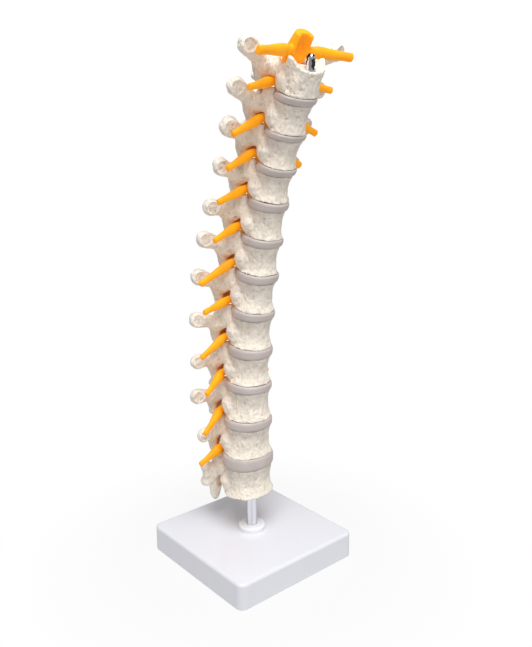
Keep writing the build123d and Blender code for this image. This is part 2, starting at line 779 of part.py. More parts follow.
def base_plate_screws():
    """The four small screws of the bottom plate."""
    screws = []
    for place in post_places():
        head = extrude(Circle(PLATE_HEAD_RADIUS), PLATE_HEAD_HEIGHT)
        shank = extrude(Circle(PLATE_SCREW_RADIUS), PLATE_SCREW_LENGTH)
        screws.append(Pos(*place) * (head + shank))
    return Compound(children=screws)


def stand_washer():
    """The washer between the boss and the stand's screw."""
    ring = Circle(STAND_WASHER_RADIUS) - Circle(SCREW_RADIUS + SCREW_CLEARANCE)
    return Pos(0, 0, ROD_SEAT - SEAT_THICKNESS - STAND_WASHER_HEIGHT) * extrude(ring, STAND_WASHER_HEIGHT)


def stand_screw():
    """The screw that pulls the rod down into the boss."""
    under_head = ROD_SEAT - SEAT_THICKNESS - STAND_WASHER_HEIGHT
    head = Pos(0, 0, under_head - SCREW_HEAD_HEIGHT) * extrude(Circle(SCREW_HEAD_RADIUS), SCREW_HEAD_HEIGHT)
    shank = Pos(0, 0, under_head) * extrude(Circle(SCREW_RADIUS), SCREW_LENGTH)
    return head + shank


def base_collar():
    """The round collar around the rod on top of the base."""
    ring = extrude(Circle(COLLAR_RADIUS), COLLAR_HEIGHT)
    ring = fillet(ring.faces().sort_by(Axis.Z)[-1].edges(), COLLAR_EDGE)
    ring -= extrude(Circle(ROD_RADIUS + ROD_CLEARANCE), COLLAR_HEIGHT)
    return Pos(0, 0, BASE_HEIGHT) * ring


# Writing the pieces

def write(name, shape):
    """Writes one piece."""
    export_step(shape, f"parts/{name}.step")


def write_column():
    """Writes the vertebrae and the discs between them."""
    for level in range(LEVELS):
        write(f"vertebra_t{level + 1:02d}", vertebra(level))
    for gap in range(1, LEVELS):
        write(f"disc_t{gap:02d}_t{gap + 1:02d}", disc(gap))


def write_stand():
    """Writes the cord, the core, the rod and the base."""
    write("spinal_cord_with_nerves", cord_with_nerves())
    write("core_rod", core_rod())
    write("core_washer", core_washer())
    write("core_cap", core_cap())
    write("stand_rod", stand_rod())
    write("base_collar", base_collar())
    write("base_shell", base_shell())
    write("base_plate", base_plate())
    write("base_plate_screws", base_plate_screws())
    write("stand_washer", stand_washer())
    write("stand_screw", stand_screw())


write_column()
write_stand()
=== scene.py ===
import math

import bpy
import numpy as np
from bpy.props import FloatProperty, FloatVectorProperty, IntProperty, PointerProperty
from bpy.types import Operator, Panel, PropertyGroup
from mathutils import Matrix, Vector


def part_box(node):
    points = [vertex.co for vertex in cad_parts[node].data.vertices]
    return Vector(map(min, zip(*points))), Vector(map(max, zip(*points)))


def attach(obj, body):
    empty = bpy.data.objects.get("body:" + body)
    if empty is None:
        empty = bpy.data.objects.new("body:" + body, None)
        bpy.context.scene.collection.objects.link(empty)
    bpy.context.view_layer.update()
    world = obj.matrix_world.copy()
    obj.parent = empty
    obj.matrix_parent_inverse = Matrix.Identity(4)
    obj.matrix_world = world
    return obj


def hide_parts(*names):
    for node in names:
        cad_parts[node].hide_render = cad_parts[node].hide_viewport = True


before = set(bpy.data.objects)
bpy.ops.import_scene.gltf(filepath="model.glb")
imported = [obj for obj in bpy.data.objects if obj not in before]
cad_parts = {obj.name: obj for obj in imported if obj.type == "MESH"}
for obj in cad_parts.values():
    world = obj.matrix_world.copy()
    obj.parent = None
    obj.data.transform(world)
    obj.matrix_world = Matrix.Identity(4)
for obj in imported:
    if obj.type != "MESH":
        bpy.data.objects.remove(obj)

bl_info = {
    "name": "Thoracic Spine Model",
    "version": (1, 0, 0),
    "blender": (4, 5, 0),
    "location": "3D View > Sidebar > Spine",
    "description": "Builds the looks of a thoracic spine model on a stand around its CAD pieces",
    "category": "Object",
}

MM = 0.001
LEVELS = 12
LAST = LEVELS - 1
BACK = (0, 1, 0)


# Sizes and colours

def series(name, description, default):
    """A property with one number for each level or gap."""
    return FloatVectorProperty(
        name=name, description=description, size=len(default), default=default)


def number(name, description, default, **limits):
    """A property with a single number."""
    return FloatProperty(name=name, description=description, default=default, **limits)


def tint(name, description, default):
    """A property with a colour."""
    return FloatVectorProperty(
        name=name, description=description, size=3, subtype="COLOR", min=0, max=1, default=default)


class SpineSizes(PropertyGroup):
    """Sizes of the column, in millimetres and degrees, from the first vertebra down."""
    body_height: series(
        "Body heights", "Height of each vertebral body",
        (17.5, 19.0, 18.5, 18.5, 19.5, 20.0, 21.5, 21.5, 20.5, 22.0, 22.0, 22.5))
    lean: series(
        "Lean", "How far each body leans forward, in degrees",
        (24.5, 24.0, 22.5, 18.5, 15.0, 12.5, 10.5, 7.5, 5.0, 2.5, 1.5, -1.0))
    face_lean_share: number(
        "Face lean share", "Share of the lean that the end faces take", 0.83)
    disc_height: series(
        "Disc heights", "Gap between neighbouring bodies",
        (5.0, 4.5, 5.5, 6.5, 6.0, 6.5, 6.5, 7.5, 6.5, 7.0, 10.0))
    face_width: series(
        "Face widths", "Width of the end faces at each gap",
        (29.0, 27.0, 26.0, 25.0, 25.5, 26.5, 28.0, 29.0, 30.5, 32.0, 35.0, 38.5, 40.0))
    face_depth: series(
        "Face depths", "Depth of the end faces at each gap",
        (20.5, 21.5, 22.5, 23.5, 24.5, 26.0, 27.0, 28.0, 29.5, 31.0, 31.5, 32.0, 32.5))
    waist: series(
        "Waists", "Share of the rims' size left at each body's waist",
        (0.95, 0.87, 0.84, 0.84, 0.83, 0.83, 0.83, 0.84, 0.85, 0.86, 0.87, 0.88))
    canal_width: series(
        "Canal widths", "Width of the canal behind each body",
        (21.0, 19.5, 18.0, 17.0, 17.0, 17.0, 17.0, 17.5, 18.0, 18.0, 19.5, 22.0))
    canal_depth: number("Canal depth", "Depth of the canal behind the bodies", 16.0)
    tip_reach: series(
        "Tip reach", "How far to the side each transverse tip lies",
        (36.5, 34.5, 32.0, 31.0, 31.0, 31.0, 31.0, 31.0, 30.0, 28.0, 25.0))
    tip_back: series(
        "Tip back", "How far back each transverse tip lies",
        (13.5, 17.5, 17.5, 18.5, 22.0, 24.5, 27.0, 25.5, 24.0, 26.5, 22.5))
    tip_rise: series(
        "Tip rise", "How high each transverse tip lies above its body's middle",
        (15.5, 12.5, 10.5, 8.5, 6.0, 9.0, 8.5, 5.5, 3.0, 2.5, 1.0))
    tip_radius: series(
        "Tip radius", "Radius of each transverse tip",
        (6.3, 6.3, 6.8, 6.2, 6.2, 6.2, 6.2, 6.2, 6.0, 6.0, 6.0))
    spine_back: series(
        "Spine back", "How far back each spinous tip lies",
        (43.5, 42.0, 41.0, 42.0, 42.0, 42.0, 43.0, 44.0, 45.0, 45.0, 45.0, 45.0))
    spine_drop: series(
        "Spine drop", "How far each spinous tip lies below its body's middle",
        (10.0, 21.0, 23.0, 25.0, 30.0, 31.0, 33.0, 32.0, 28.0, 22.0, 18.0, 15.0))
    nerve_reach: series(
        "Nerve reach", "How far to the side each nerve ends",
        (39.0, 35.0, 36.0, 32.0, 34.0, 34.0, 36.0, 34.0, 34.0, 34.0, 34.0, 34.0))
    nerve_back: series(
        "Nerve back", "How far back each nerve ends",
        (0.0, 5.0, 8.5, 11.3, 12.0, 10.0, 18.0, 13.5, 14.0, 6.5, 9.0, 15.5))
    nerve_rise: series(
        "Nerve rise", "How high each nerve ends above its gap",
        (7.0, 4.0, -3.0, -3.0, -1.0, -1.0, -8.0, 0.5, -5.0, -3.0, -6.0, -2.0))
    nerve_radius: number("Nerve radius", "Radius of a nerve at its cut end", 2.1)
    far_turn: number("Far nerve turn", "Degrees the lower far nerves turn back", 22.0)
    far_share: number("Far nerve share", "Share of the lower far nerves' free length", 0.78)
    cord_radius: number("Cord radius", "Radius of the spinal cord in the canal", 4.9)
    stand_height: number("Column foot", "Height of the last body's lower face", 51.5)
    column_back: number("Column back", "How far the column's foot lies behind the rod", 3.0)
    bone_step: number("Bone mesh step", "Mesh size on the bones, in mm", 0.75, min=0.4, max=2.0)
    nerve_step: number("Nerve mesh step", "Mesh size on the nerves, in mm", 0.66, min=0.4, max=2.0)
    seed: IntProperty(name="Seed", default=7, description="Start of the random pits and lumps")


class SpineColours(PropertyGroup):
    """Colours of the materials."""
    bone: tint("Bone", "Ivory of the bones", (0.985, 0.895, 0.77))
    # Painted shade: the greyer patches on the upper half of the bodies stand for the shade under
    # the upper rim's overhang.
    bone_painted_shade: tint(
        "Bone shade", "Greyer patches on the upper half of the bodies", (0.60, 0.52, 0.46))
    # The colour of the grain and streaks, and of the painted shade in the hollows, the rib facets
    # and the pin holes.
    bone_grain_and_shade: tint("Bone recess", "Colour in the hollows of the bones", (0.52, 0.44, 0.37))
    # Painted shadow round the canal and in the nerve openings, tinted orange by light bounced off
    # the cord.
    bone_canal_shade: tint(
        "Bone inside", "Colour around the canal and in the openings for the nerves",
        (0.62, 0.31, 0.13))
    disc: tint("Disc", "Grey of the discs", (0.58, 0.51, 0.48))
    nerve: tint("Nerve", "Orange of the cord and nerves", (1.0, 0.40, 0.008))
    base: tint("Base", "White of the base", (0.78, 0.785, 0.84))
    collar: tint("Collar", "White of the collar", (0.86, 0.86, 0.89))
    metal: tint("Metal", "Bright plating of the rod and the cap", (0.82, 0.82, 0.85))


# A painted highlight on the bones' ridges.
RIDGE_HIGHLIGHT_COLOUR = (0.97, 0.92, 0.84, 1.0)
# Deeper orange painted as shade in the gutter of the cord's stub.
GUTTER_SHADE_COLOUR = (0.95, 0.22, 0.0, 1.0)
# Darker bands painted on the rod as reflections of dark surroundings.
DARK_REFLECTION_COLOUR = (0.40, 0.41, 0.47, 1.0)


# Places along the column

CANAL_BITE = 1.5


class Place:
    """A frame that leans forward: x to the side, y to the back and z up along the column."""

    def __init__(self, origin, lean):
        turn = math.radians(lean)
        self.origin = np.asarray(origin, float)
        self.axes = np.array([
            [1, 0, 0],
            [0, math.cos(turn), math.sin(turn)],
            [0, -math.sin(turn), math.cos(turn)],
        ])

    def out(self, points):
        """Points of this frame in the row frame: the origin plus each coordinate times its axis."""
        return self.origin + np.asarray(points, float) @ self.axes

    def into(self, points):
        """Points of the row frame in this frame."""
        return (np.asarray(points, float) - self.origin) @ self.axes.T


class Column:
    """The bodies stacked from the stand upwards, with the gaps between them."""

    def __init__(self, sizes):
        self.sizes = sizes
        self.height = np.array(sizes.body_height)
        self.width = np.array(sizes.face_width)
        self.depth = np.array(sizes.face_depth)
        self.lean = np.array(sizes.lean)
        self.share = sizes.face_lean_share
        self.discs = np.array(sizes.disc_height)
        self.centres = self.stack()

    def stack(self):
        """The middle of each body: half a body and a disc at a time, along the lean."""
        centres = []
        point = np.array([0.0, self.sizes.column_back, self.sizes.stand_height])
        for level in reversed(range(LEVELS)):
            step = self.upward(self.lean[level]) * self.height[level] / 2
            centres.insert(0, point + step)
            point = point + 2 * step
            if level:
                between = (self.lean[level] + self.lean[level - 1]) / 2
                point = point + self.upward(between) * self.discs[level - 1]
        return np.array(centres)

    @staticmethod
    def upward(lean):
        """The direction that leans forward by so many degrees."""
        turn = math.radians(lean)
        return np.array([0, -math.sin(turn), math.cos(turn)])

    def body(self, level):
        """The frame at the middle of a body."""
        return Place(self.centres[level], self.lean[level] * self.share)

    def face(self, level, side):
        """The frame at a body's upper (1) or lower (-1) face."""
        origin = self.body(level).out([0, 0, side * self.height[level] / 2])
        return Place(origin, self.lean[level] * self.share)

    def gap(self, gap):
        """The frame halfway between two bodies, or at the outer face at either end."""
        if gap == 0:
            return self.face(0, 1)
        if gap == LEVELS:
            return self.face(LAST, -1)
        origin = (self.face(gap - 1, -1).origin + self.face(gap, 1).origin) / 2
        return Place(origin, (self.lean[gap - 1] + self.lean[gap]) / 2 * self.share)

    def half(self, gap):
        """Half the width and half the depth of the end faces at a gap."""
        return np.array([self.width[gap], self.depth[gap]]) / 2

    def canal_front(self, gap):
        """How far back the canal begins at a gap: it bites a little into the faces' depth."""
        return self.depth[gap] / 2 - CANAL_BITE

    def body_canal_front(self, level):
        """How far back the canal begins behind a body."""
        return (self.canal_front(level) + self.canal_front(level + 1)) / 2

    def canal_middle(self, level):
        """How far back the canal's middle lies behind a body."""
        return self.body_canal_front(level) + self.sizes.canal_depth / 2

    def shifted(self, level, gap, stations):
        """A limb's stations, with their places moved from a gap's frame into a body's frame."""
        body = self.body(level)
        place = self.gap(gap)
        return [(*body.into(place.out(row[:3])), *row[3:]) for row in stations]


# Surfaces

DOME_RINGS = 5


def blend(a, b, c, d, t):
    """A share of the way from b to c on the Catmull-Rom curve through four stations: they are
    blended with cubic weights of the share."""
    cubic = (3 * b - 3 * c + d - a) * t**3
    return 0.5 * (2 * b + (c - a) * t + (2 * a - 5 * b + 4 * c - d) * t**2 + cubic)


def curve_rows(stations, count):
    """Rows between the given ones, on a smooth curve that is carried on straight at its ends."""
    rows = np.asarray(stations, float)
    rows = np.vstack([2 * rows[0] - rows[1], rows, 2 * rows[-1] - rows[-2]])
    share = np.linspace(0, len(rows) - 3, count)
    index = np.minimum(share.astype(int), len(rows) - 4)
    return blend(*(rows[index + move] for move in range(4)), (share - index)[:, None])


def loop_rows(points, count):
    """Points round a smooth closed curve, evenly in its own share."""
    loop = np.asarray(points, float)
    share = np.linspace(0, len(loop), count, endpoint=False)
    index = share.astype(int)
    nearest = (loop[(index + move) % len(loop)] for move in (-1, 0, 1, 2))
    return blend(*nearest, (share - index)[:, None])


def unit(vectors):
    """Vectors at length one."""
    return vectors / np.maximum(np.linalg.norm(vectors, axis=-1, keepdims=True), 1e-9)


def on_way(start, end, share, move=(0, 0, 0)):
    """A place a share of the way from one point to another, moved a little."""
    return start + (end - start) * share + np.array(move)


def limb(stations, up=(0, 0, 1), rows=22, columns=20, dome=0.7):
    """Rings of an oval limb. Stations are (x, y, z, half width, half height) on a smooth path.
    Each ring stands square to the path: centre + half width * cosine across it
    + half height * sine over it. The ends are domes: the ring shrinks with a cosine and
    moves on with a sine."""
    path = curve_rows(stations, rows)
    along = unit(np.gradient(path[:, :3], axis=0))
    turn = np.linspace(0, math.pi / 2, DOME_RINGS + 1)[1:, None]
    caps = []
    for end, way in ((0, -1), (-1, 1)):
        reach = dome * path[end, 3:5].min()
        centre = path[end, :3] + way * along[end] * reach * np.sin(turn)
        halves = path[end, 3:5] * np.cos(turn)
        caps.append(np.hstack([centre, halves]))
    path = np.vstack([caps[0][::-1], path, caps[1]])
    along = np.pad(along, ((DOME_RINGS, DOME_RINGS), (0, 0)), "edge")
    across = unit(np.cross(np.asarray(up, float), along))
    over = np.cross(along, across)
    angle = np.linspace(0, 2 * math.pi, columns, endpoint=False)[None, :, None]
    side = across[:, None] * path[:, None, 3:4] * np.cos(angle)
    height = over[:, None] * path[:, None, 4:5] * np.sin(angle)
    return path[:, None, :3] + side + height


def ball(centre, halves):
    """Rings of an ellipsoid: cosine and sine of the turn, times cosine of the height angle."""
    rise = np.linspace(-math.pi / 2, math.pi / 2, 16)[:, None]
    turn = np.linspace(0, 2 * math.pi, 24, endpoint=False)[None]
    shape = np.stack([
        np.cos(rise) * np.cos(turn),
        np.cos(rise) * np.sin(turn),
        np.sin(rise) * np.ones_like(turn),
    ], axis=-1)
    return np.asarray(centre, float) + shape * np.asarray(halves, float)


def mirrored(rings):
    """The same rings on the other side."""
    return rings * np.array([-1.0, 1, 1])


def closed_skin(rings):
    """Corners and faces of a closed skin: quads between rings, and a fan from a pole at the
    middle of the first ring and of the last. The order is turned round if the volume, the sum
    of each quad's corner products, comes out negative."""
    rows, columns = rings.shape[:2]
    poles = rings[0].mean(0)[None], rings[-1].mean(0)[None]
    corners = np.vstack([poles[0], rings[1:-1].reshape(-1, 3), poles[1]])
    ring = 1 + np.arange((rows - 2) * columns).reshape(rows - 2, columns)
    after = np.roll(ring, -1, axis=1)
    quads = np.stack([ring[:-1], after[:-1], after[1:], ring[1:]], axis=-1).reshape(-1, 4)
    first = np.stack([np.zeros_like(ring[0]), after[0], ring[0]], axis=-1)
    last = np.stack([np.full_like(ring[0], len(corners) - 1), ring[-1], after[-1]], axis=-1)
    a, b, c, d = (corners[quads[:, i]] for i in range(4))
    volume = np.einsum("ij,ij->", a, np.cross(b, c)) + np.einsum("ij,ij->", a, np.cross(c, d))
    faces = [quads, first, last]
    if volume < 0:
        faces = [face[:, ::-1] for face in faces]
    return corners, faces


def joined(skins):
    """One set of corners and faces from several closed skins."""
    corners, faces, start = [], [], 0
    for points, groups in skins:
        corners.append(points)
        faces += [group + start for group in groups]
        start += len(points)
    return np.vstack(corners), faces


def mesh_from(name, corners, faces):
    """A mesh from whole arrays of corners, in metres, and faces."""
    mesh = bpy.data.meshes.new(name)
    loops = np.concatenate([group.ravel() for group in faces])
    sizes = np.concatenate([np.full(len(group), group.shape[1]) for group in faces])
    mesh.vertices.add(len(corners))
    mesh.vertices.foreach_set("co", corners.astype(np.float32).ravel())
    mesh.loops.add(len(loops))
    mesh.loops.foreach_set("vertex_index", loops.astype(np.int32))
    mesh.polygons.add(len(sizes))
    starts = np.concatenate([[0], np.cumsum(sizes)[:-1]])
    mesh.polygons.foreach_set("loop_start", starts.astype(np.int32))
    mesh.update(calc_edges=True)
    mesh.validate()
    return mesh


def show(name, mesh, material, nodes):
    """Puts a mesh into the scene, smooth, with its material, for the CAD nodes it stands for."""
    piece = bpy.data.objects.new(name, mesh)
    bpy.context.scene.collection.objects.link(piece)
    mesh.polygons.foreach_set("use_smooth", np.ones(len(mesh.polygons), bool))
    mesh.materials.append(material)
    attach(piece, "root")
    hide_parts(*nodes)


def fused(name, skins, step, rounds):
    """One closed mesh from overlapping skins in millimetres: they are rebuilt on a grid of the
    step's size, and each corner then moves towards its neighbours' middle some times."""
    corners, faces = joined(skins)
    source = mesh_from(name + "_source", corners * MM, faces)
    holder = bpy.data.objects.new(name + "_source", source)
    bpy.context.scene.collection.objects.link(holder)
    remesh = holder.modifiers.new("Remesh", "REMESH")
    remesh.mode = "VOXEL"
    remesh.voxel_size = step * MM
    relax = holder.modifiers.new("Relax", "SMOOTH")
    relax.factor = 0.5
    relax.iterations = rounds
    depsgraph = bpy.context.evaluated_depsgraph_get()
    mesh = bpy.data.meshes.new_from_object(holder.evaluated_get(depsgraph))
    mesh.name = name
    bpy.data.objects.remove(holder)
    bpy.data.meshes.remove(source)
    return mesh


def corners_of(mesh):
    """A mesh's corners in millimetres, and its normals."""
    points = np.empty(len(mesh.vertices) * 3)
    mesh.vertices.foreach_get("co", points)
    normals = np.empty(len(mesh.vertices) * 3, np.float32)
    mesh.vertex_normals.foreach_get("vector", normals)
    return points.reshape(-1, 3) / MM, normals.reshape(-1, 3).astype(float)


def boxed(points, node):
    """Points in millimetres turned to metres and kept inside a CAD node's box."""
    low, high = np.array(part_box(node))
    return np.clip(points * MM, low, high)


def set_corners(mesh, points, node):
    """Writes corners in millimetres back into a mesh, kept inside a CAD node's box."""
    mesh.vertices.foreach_set("co", boxed(points, node).ravel())
    mesh.update()


def set_shade(mesh, name, values):
    """Stores one number for each corner, for the material to read."""
    layer = mesh.attributes.new(name, "FLOAT", "POINT")
    layer.data.foreach_set("value", values.astype(np.float32))


def neighbour_mean(mesh, values, rounds):
    """Values averaged with those at the other ends of each corner's edges, some times over."""
    edges = np.empty(len(mesh.edges) * 2, np.int32)
    mesh.edges.foreach_get("vertices", edges)
    start, end = edges.reshape(-1, 2).T
    both = np.concatenate([start, end])
    other = np.concatenate([end, start])
    size = len(values)
    count = np.maximum(np.bincount(both, minlength=size), 1)[:, None]
    for _ in range(rounds):
        total = [np.bincount(both, weights=row[other], minlength=size) for row in values.T]
        values = 0.5 * values + 0.5 * np.stack(total, axis=1) / count
    return values


def noise(points, size, seed):
    """Smooth noise from -1 to 1: random numbers at the corners of cubes of a size, blended by
    the eased share of the way between them. It repeats after so many cubes."""
    cubes = 32
    table = np.random.default_rng(seed).uniform(-1, 1, (cubes, cubes, cubes))
    place = points / np.asarray(size, float)
    cell = np.floor(place).astype(int)
    share = eased(0, 1, place - cell)
    total = np.zeros(len(points))
    for corner in np.ndindex(2, 2, 2):
        weight = np.prod(np.where(corner, share, 1 - share), axis=1)
        total += weight * table[tuple(((cell + corner) % cubes).T)]
    return total


def eased(low, high, values):
    """0 below the first number, 1 above the second, and a smooth step between them."""
    share = np.clip((values - low) / (high - low), 0, 1)
    return share * share * (3 - 2 * share)


def bell(values, width, power=2):
    """1 at zero, falling off to both sides."""
    return np.exp(-(values / width)**power)


# Bones

OUTLINE = [
    (0, -1), (0.40, -0.93), (0.73, -0.71), (0.93, -0.36), (1.0, 0.02), (0.93, 0.42), (0.70, 0.80),
    (0.36, 0.96), (0, 0.98), (-0.36, 0.96), (-0.70, 0.80), (-0.93, 0.42), (-1.0, 0.02),
    (-0.93, -0.36), (-0.73, -0.71), (-0.40, -0.93),
]
NOTCH_DEPTH = 1.6
NOTCH_WIDTH = 5.5
RIM_POWER = 2.4
SEAT_Y = -5.0
SEAT_DEPTH = 1.8
SIDE_WALL = 2.6
BACK_WALL = 2.4
ARCH_REACH = 1.75
UPPER_FACET_BACK = 5.3
LOWER_FACET_BACK = 11.9
FACET_FACING = (0.22, -0.96, 0.12)
DISH_DEPTH = 1.7
DISH_RIM = 0.35
BONE_RELAX = 7
PITS = 110
PIT_SHARE = 0.42
SOFT_ROUNDS = 14
SEEDS_EACH = 20


def notched(flat, outline):
    """An outline's places with the shallow notch of the canal pressed into its back half."""
    flat[..., 1] -= NOTCH_DEPTH * bell(flat[..., 0], NOTCH_WIDTH) * (outline[..., 1] > 0)
    return flat


def top_height(column, level, x, y):
    """How high a body's upper face lies above its middle. All but the first are flat. That one
    is a trough along y whose sides rise with a power of x to flat lips, less towards the front.
    It is cut off behind by a circle, and has a round seat for the cap's washer."""
    base = column.height[level] / 2
    if level:
        return np.full(x.shape, base)
    half = column.width[0] / 2 - 1.6
    lip = 5.3
    side = np.minimum(np.abs(x / half)**RIM_POWER, 1) * eased(-1.15, 0.0, 2 * y / column.depth[0])
    trough = base + 0.12 * np.minimum(y, 0) + lip * side
    groove = base + 5.0 - np.sqrt(np.maximum(7.5**2 - (y - 8.5)**2, 0))
    top = np.where(y > 1.0, np.minimum(trough, groove), trough)
    return top - SEAT_DEPTH * (1 - eased(3.2, 4.2, np.hypot(x, y - SEAT_Y)))


def body_skin(column, level):
    """A body: the outline times half the width and depth, drawn in at the waist by a power of
    the height, with a lip at both rims, from the lower face to the upper one."""
    outline = loop_rows(OUTLINE, 96)
    share = np.linspace(0, 1, 30)[:, None]
    waist = 1 - (1 - column.sizes.waist[level]) * (1 - np.abs(2 * share - 1)**RIM_POWER)
    halves = (column.half(level + 1) * (1 - share) + column.half(level) * share) * waist
    flat = notched(outline[None] * halves[:, None], outline)
    bottom = -column.height[level] / 2
    top = top_height(column, level, flat[..., 0], flat[..., 1])
    wall = np.dstack([flat, bottom + share * (top - bottom)])
    shrink = np.linspace(1, 0, 24)[1:, None, None]
    lid = wall[-1][None] * np.array([1, 1, 0]) * shrink
    lid[..., 2] = top_height(column, level, lid[..., 0], lid[..., 1])
    floor = wall[0][None] * np.array([1, 1, 0]) * shrink[::-1]
    floor[..., 2] = bottom
    return closed_skin(np.concatenate([floor, wall, lid]))


def squared(values, power):
    """Sines or cosines drawn out by a power, which squares up the circle they run round."""
    return np.sign(values) * np.abs(values)**power


def arch_skin(column, level):
    """The arch: a tall rounded plate carried round the back of the canal. Its middle runs on an
    ellipse round the canal. It reaches from the arch above, with a dip for the blade of that
    one, down behind the gap."""
    half_width = column.sizes.canal_width[level] / 2 + SIDE_WALL
    half_depth = column.sizes.canal_depth / 2 + BACK_WALL
    turn = np.linspace(-ARCH_REACH, ARCH_REACH, 46)
    side = np.abs(turn)
    above = column.discs[level - 1] / 2 if level else 0.0
    below = column.discs[level] / 2 if level < LAST else 0.0
    low = -column.height[level] / 2 - below - 0.4
    high = column.height[level] / 2 + above - 2.2
    dip = 4.0
    root = -2.0
    slant = 0.16
    bottom = low + (root - low) * eased(0.95, 1.6, side)
    top = dip + (high - dip) * eased(0.15, 0.5, side) - 2.0 * eased(1.2, 1.7, side)
    sine = np.sin(turn)
    cosine = np.cos(turn)
    back = column.canal_middle(level) + half_depth * cosine
    centre = np.stack([half_width * sine, back, (top + bottom) / 2], 1)
    outward = unit(np.stack([sine / half_width, cosine / half_depth, 0 * turn], 1))
    angle = np.linspace(0, 2 * math.pi, 30, endpoint=False)
    thick = 2.5 * squared(np.cos(angle), 0.7)
    height = squared(np.sin(angle), 0.8)[None] * ((top - bottom) / 2)[:, None]
    rings = centre[:, None] + outward[:, None] * thick[None, :, None]
    rings[..., 2] += height
    rings[..., 1] += slant * (dip - rings[..., 2])
    return closed_skin(np.concatenate([rings[:1], rings, rings[-1:]]))


def wing_root(column, level):
    """Where a transverse process leaves the arch."""
    spread = column.sizes.canal_width[level] / 2 + 2.5
    return np.array([spread, column.body_canal_front(level) + 9.0, 1.5])


def wing_tip(column, level):
    """The middle of a transverse process's round tip, and its radius."""
    sizes = column.sizes
    tip = np.array([sizes.tip_reach[level], sizes.tip_back[level], sizes.tip_rise[level]])
    return tip, sizes.tip_radius[level]


def side_skins(column, level):
    """The pieces of one side: pedicle, upper facet, the sill of the opening above and the flank,
    then the transverse process or, on the last vertebra, the knobs and the leaf."""
    front = column.body_canal_front(level)
    spread = wing_root(column, level)[0]
    inside = 0.31 * (column.width[level] + column.width[level + 1]) / 2
    above = column.canal_front(level) + UPPER_FACET_BACK
    pieces = [
        limb([
            (inside, front - 7, 3.6, 3.4, 5.4),
            (spread - 0.6, front + 1.5, 3.6, 3.0, 4.8),
            (spread + 0.3, front + 9, 2.6, 3.4, 5.4),
        ]),
        limb(column.shifted(level, level, [
            (11.6, above + 0.4, -9.0, 4.2, 3.3),
            (11.5, above, -4.0, 4.2, 3.1),
            (11.3, above + 0.3, 0.4, 3.6, 2.6),
        ]), up=BACK),
    ]
    if level:
        pieces.append(sill(column, level))
    pieces.append(flank(column, level))
    return pieces + (wing(column, level) if level < LAST else last_side(column))


def wing(column, level):
    """A transverse process with its round tip, the lower facet and the web between them."""
    root = wing_root(column, level)
    tip, radius = wing_tip(column, level)
    gap = level + 1
    below = column.canal_front(gap) + LOWER_FACET_BACK
    return [
        limb([
            (*root, 4.6, 6.2),
            (*on_way(root, tip, 0.25, (0, 0, -0.8)), 4.4, 6.0),
            (*on_way(root, tip, 0.5), 3.9, 5.0),
            (*on_way(tip, root, 0.12), 0.80 * radius, 0.93 * radius),
        ], rows=28),
        ball(tip - np.array([0, 0.2, 0]), (radius * 0.94, radius * 0.88, radius * 0.97)),
        limb([
            (*(root + np.array([0.5, 2.5, -1.0])), 4.4, 2.8),
            *column.shifted(level, gap, [
                (11.6, below + 1.2, 6.5, 4.5, 2.8),
                (11.4, below + 0.9, 0.8, 3.9, 2.3),
            ]),
        ], up=BACK),
        limb([
            (*on_way(root, tip, 0.45, (0, 0.5, -2.0)), 2.8, 4.6),
            (*on_way(root, tip, 0.20, (0.4, 2.6, -5.6)), 2.8, 4.8),
            *column.shifted(level, gap, [(12.4, below + 1.2, 3.6, 2.5, 3.8)]),
        ], up=(0.35, 1, 0)),
    ]


def flank(column, level):
    """The bulge on a body's back corner, from its upper half down to the lower rim."""
    wide, deep = column.half(level + 1)
    tall = column.height[level]
    return limb([
        (0.71 * wide - 0.6, 0.46 * deep - 0.5, 0.16 * tall, 5.0, 4.8),
        (0.72 * wide - 0.8, 0.47 * deep - 0.6, 0.0, 7.0, 6.7),
        (0.68 * wide - 0.8, 0.38 * deep - 0.6, -0.24 * tall, 6.5, 6.4),
    ], up=BACK, dome=0.6)


def sill(column, level):
    """The bone behind the disc above that closes the lower part of the nerve's opening. It
    starts behind the disc's outline, an ellipse of the face's half sizes."""
    wide, deep = column.half(level)
    rim = deep * math.sqrt(1 - (10.0 / wide)**2) * 1.05 + 1.4
    back = max(column.canal_front(level) + 2.0, rim + 2.4)
    return limb(column.shifted(level, level, [
        (10.2, back - 0.4, -9.0, 3.4, 3.0),
        (10.2, back, -4.0, 3.4, 2.5),
        (10.5, back + 0.5, 1.9, 3.0, 2.3),
    ]), up=BACK)


def last_side(column):
    """The last vertebra's knobs, one high and one low, and its leaf-shaped lower process."""
    root = wing_root(column, LAST)
    return [
        limb([(*root, 4.8, 6.4), (20.0, 26.8, 4.4, 4.2, 4.2)]),
        ball((20.4, 27.0, 4.8), (4.6, 4.6, 4.7)),
        limb([(*root, 4.8, 6.4), (20.0, 26.8, -6.2, 4.2, 4.2)]),
        ball((20.2, 26.9, -6.6), (4.8, 4.6, 4.9)),
        ball((21.4, 25.4, -0.6), (3.6, 3.8, 4.0)),
        limb([
            (11.5, 24.2, -1.0, 5.8, 2.9),
            (11.5, 27.0, -13.0, 6.0, 2.8),
            (11.5, 27.8, -20.5, 5.0, 2.4),
            (11.4, 28.0, -25.0, 2.4, 1.6),
        ], up=BACK),
    ]


def spinous_rings(column, level):
    """The blade that points back and down from the arch, thicker at its root and its tip."""
    sizes = column.sizes
    root = np.array([0, column.body_canal_front(level) + 17.0, -5.0])
    tip = np.array([0, sizes.spine_back[level], -sizes.spine_drop[level]])
    return limb([
        (*root, 3.4, 5.4),
        (*on_way(root, tip, 0.5), 2.3, 4.1),
        (*on_way(root, tip, 0.82), 2.5, 3.2),
        (*tip, 3.3, 3.5),
    ], rows=30, dome=0.9)


